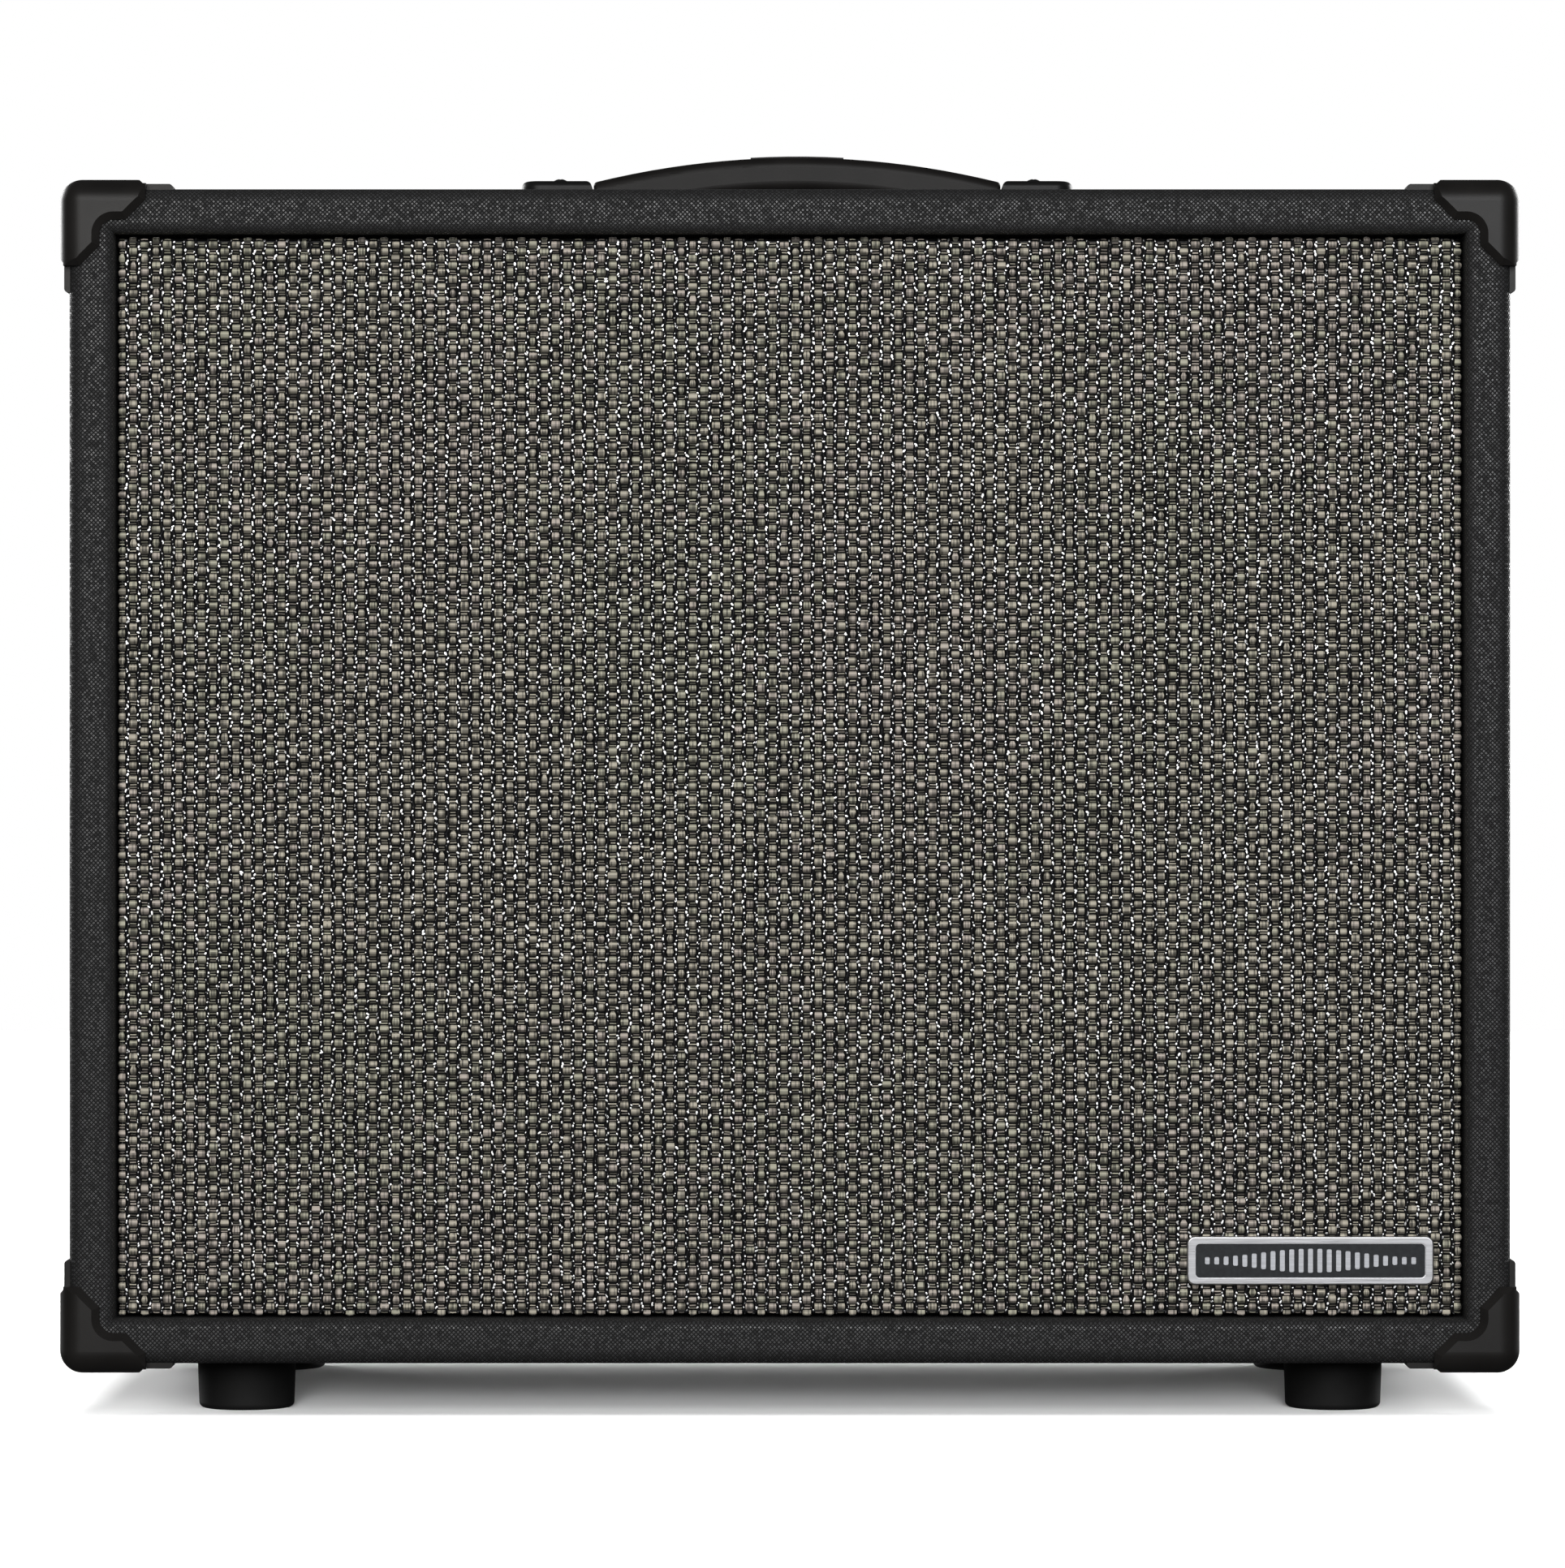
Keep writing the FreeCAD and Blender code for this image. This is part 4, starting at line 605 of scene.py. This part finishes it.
def grille():
    """The woven cloth, with every thread a shape of its own over a black ground."""
    yarn = yarn_materials()
    ground, tree, bsdf = principled("cloth_ground", (0.003, 0.003, 0.003), 0.8, spec=0.1)
    tree.links.new(ramp(tree, noise(tree, 1500, 3), (0.002, 0.002, 0.002), (0.008, 0.008, 0.008)),
                   bsdf.inputs["Base Color"])
    warp, tree, bsdf = principled("cloth_warp", (0.005, 0.005, 0.006), 0.5, spec=0.2)
    fibre = noise(tree, (3000, 3000, 700), 3)
    tree.links.new(ramp(tree, fibre, (0.003, 0.003, 0.004), (0.012, 0.012, 0.014)), bsdf.inputs["Base Color"])
    bump(tree, bsdf, fibre, 0.1 * MM, 0.6)
    silver = [principled(f"glitter_{k}", (level,) * 3, rough, metallic=1.0)[0]
              for k, (level, rough) in enumerate(((0.97, 0.42), (0.80, 0.48), (0.45, 0.5)))]
    back = cloth_backing(ground)
    pieces = [*cloth_blocks(yarn), *cloth_lines(yarn), cloth_warp(warp), cloth_glitter(silver)]
    for p in [back, *pieces]:
        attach(p, "cabinet")
    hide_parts("grille_cloth")


# ---------------------------------------------------------------- badge and markings
def mesh_piece(name, bm, material, body):
    """A piece from a bmesh, with its material, that rides on a body."""
    bmesh.ops.recalc_face_normals(bm, faces=bm.faces)
    mesh = bpy.data.meshes.new(name)
    bm.to_mesh(mesh)
    bm.free()
    mesh.materials.append(material)
    obj = bpy.data.objects.new(name, mesh)
    bpy.context.scene.collection.objects.link(obj)
    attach(obj, body)
    return obj


def prism(bm, outline, front, back, chamfer=0.0):
    """A flat piece with the outline given in x and z, from y = front to y = back, eased at the front."""
    cx = sum(p[0] for p in outline) / len(outline)
    cz = sum(p[1] for p in outline) / len(outline)
    reach = max(max(abs(p[0] - cx), abs(p[1] - cz)) for p in outline)
    k = 1 - chamfer / reach
    way = 1 if back > front else -1
    rings = [[bm.verts.new((cx + (x - cx) * f, y, cz + (z - cz) * f)) for x, z in outline]
             for f, y in ((k, front), (1.0, front + way * chamfer), (1.0, back))]
    for low, high in zip(rings, rings[1:]):
        for i in range(len(outline)):
            j = (i + 1) % len(outline)
            bm.faces.new((low[i], low[j], high[j], high[i]))
    bm.faces.new(rings[0])
    bm.faces.new(rings[-1])


def rounded(cx, cz, w, h, r, steps=6):
    """The outline of a rectangle w by h with corners of radius r."""
    outline = []
    for k, (sx, sz) in enumerate(((1, 1), (-1, 1), (-1, -1), (1, -1))):
        for i in range(steps + 1):
            a = math.radians(90 * (k + i / steps))
            outline.append((cx + sx * (w / 2 - r) + r * math.cos(a),
                            cz + sz * (h / 2 - r) + r * math.sin(a)))
    return outline


def badge():
    """A black enamel field with a plain row of bars, like a level meter, in the badge's sunk middle."""
    low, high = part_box("badge_plate")
    cx, cz = (low.x + high.x) / 2, (low.z + high.z) / 2
    w, h = high.x - low.x - 6.6 * MM, high.z - low.z - 5.6 * MM
    enamel, tree, bsdf = principled("badge_enamel", (0.016, 0.018, 0.021), 0.3, spec=0.4)
    cloud = noise(tree, 500, 2)
    tree.links.new(ramp(tree, cloud, (0.012, 0.014, 0.017), (0.022, 0.025, 0.029)), bsdf.inputs["Base Color"])
    bm = bmesh.new()
    prism(bm, rounded(cx, cz, w, h, 1.6 * MM), low.y + 0.45 * MM, low.y + 0.79 * MM, 0.08 * MM)
    mesh_piece("badge_field", bm, enamel, "cabinet")
    bars = metal("badge_bars", (0.60, 0.61, 0.64), 0.34, (60, 3000, 3000))
    bm = bmesh.new()
    count = 23
    for i in range(count):
        t = (i - (count - 1) / 2) / ((count - 1) / 2)
        tall = h * (0.22 + 0.5 * math.cos(t * math.pi / 2) ** 2)
        prism(bm, rounded(cx + t * w * 0.45, cz, 1.9 * MM, tall, 0.5 * MM, 3), low.y + 0.12 * MM,
              low.y + 0.47 * MM, 0.1 * MM)
    mesh_piece("badge_bars", bm, bars, "cabinet")


# knob: its body, degrees from the middle to each end, and the marks on its scale
KNOBS = {"volume_knob": ("volume", 150, 11), "low_cut_knob": ("low_cut", 150, 11),
         "high_cut_knob": ("high_cut", 150, 11), "voicing_knob": ("voicing", 90, 6)}


def controls():
    """Printed scales round the knobs, with numbers at their ends, and a white line in each knob's groove."""
    ink, tree, bsdf = principled("scale_ink", (0.7, 0.7, 0.7), 0.55, spec=0.3)
    tree.links.new(ramp(tree, noise(tree, 2500, 2), (0.6, 0.6, 0.6), (0.78, 0.78, 0.77)),
                   bsdf.inputs["Base Color"])
    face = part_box("control_plate")[1].y
    scale = bmesh.new()
    for name, (body, reach, count) in KNOBS.items():
        low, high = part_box(name)
        cx, cz, r = (low.x + high.x) / 2, (low.z + high.z) / 2, (high.z - low.z) / 2
        for i in range(count):
            a = math.radians(-reach + 2 * reach * i / (count - 1))
            long = 2.6 * MM if i in (0, count - 1, (count - 1) // 2) else 1.7 * MM
            ray = Vector((-math.sin(a), math.cos(a)))
            side = Vector((math.cos(a), math.sin(a))) * 0.25 * MM
            start, end = ray * (r + 2.2 * MM), ray * (r + 2.2 * MM + long)
            outline = [(cx + q.x, cz + q.y) for q in (start - side, end - side, end + side, start + side)]
            prism(scale, outline, face + 0.08 * MM, face)
        words = ("0", "10") if reach > 90 else ("1", "6")
        numbers(f"{body}_numbers", cx, cz, r + 7.2 * MM, face, reach, words, ink)
        line = bmesh.new()
        corners = ((-0.5, 1.9), (0.5, 1.9), (0.5, 6.0), (-0.5, 6.0))
        groove = [(cx + dx * MM, cz + dz * MM) for dx, dz in corners]
        prism(line, groove, high.y - 0.25 * MM, high.y - 0.69 * MM)
        mesh_piece(f"{body}_pointer", line, ink, body)
    mesh_piece("panel_scales", scale, ink, "cabinet")


def numbers(name, cx, cz, radius, face, reach, words, ink):
    """The two numbers at the ends of a scale, as one mesh that is read from behind."""
    made = bmesh.new()
    for word, degrees in zip(words, (-reach - 4, reach + 4)):
        curve = bpy.data.curves.new(name, "FONT")
        curve.body, curve.size, curve.extrude = word, 4.2 * MM, 0.04 * MM
        curve.align_x, curve.align_y = "CENTER", "CENTER"
        text = bpy.data.objects.new(name, curve)
        mesh = bpy.data.meshes.new_from_object(text)
        bpy.data.objects.remove(text)
        a = math.radians(degrees)
        start = len(made.verts)
        made.from_mesh(mesh)
        made.verts.ensure_lookup_table()
        for v in made.verts[start:]:
            x, y, z = v.co
            v.co = (cx - math.sin(a) * radius - x, face + 0.04 * MM + z, cz + math.cos(a) * radius + y)
        bpy.data.meshes.remove(mesh)
    mesh_piece(name, made, ink, "cabinet")


# ---------------------------------------------------------------- speaker's soft rings
GLUED = 0.1                 # share of the ring's width at its rim, and as much at its hub, over which the computed share stays at 0 and at 1


def flexing_ring(node, name):
    """A copy of the ring in place of its CAD node, which is hidden, and a share for each point from 0 at the
    rim to 1 at the inner edge.
    """
    piece = bpy.data.objects.new(name, NODES[node].data.copy())
    bpy.context.scene.collection.objects.link(piece)
    low, high = (np.array(corner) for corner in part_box(node))
    middle = (low + high) / 2
    points = np.array([v.co for v in piece.data.vertices]) - middle
    radius = np.hypot(points[:, 0], points[:, 2])
    rim, hub = radius.max(), radius.min()
    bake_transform(piece)
    share = np.clip((rim - radius) / (rim - hub) * (1 + 2 * GLUED) - GLUED, 0, 1)
    share = share * share * (3 - 2 * share)
    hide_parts(node)


camera()
surroundings()
finish_cad_nodes()
grille()
badge()
controls()
flexing_ring("speaker_surround", "surround_roll")
flexing_ring("speaker_spider", "spider_disc")
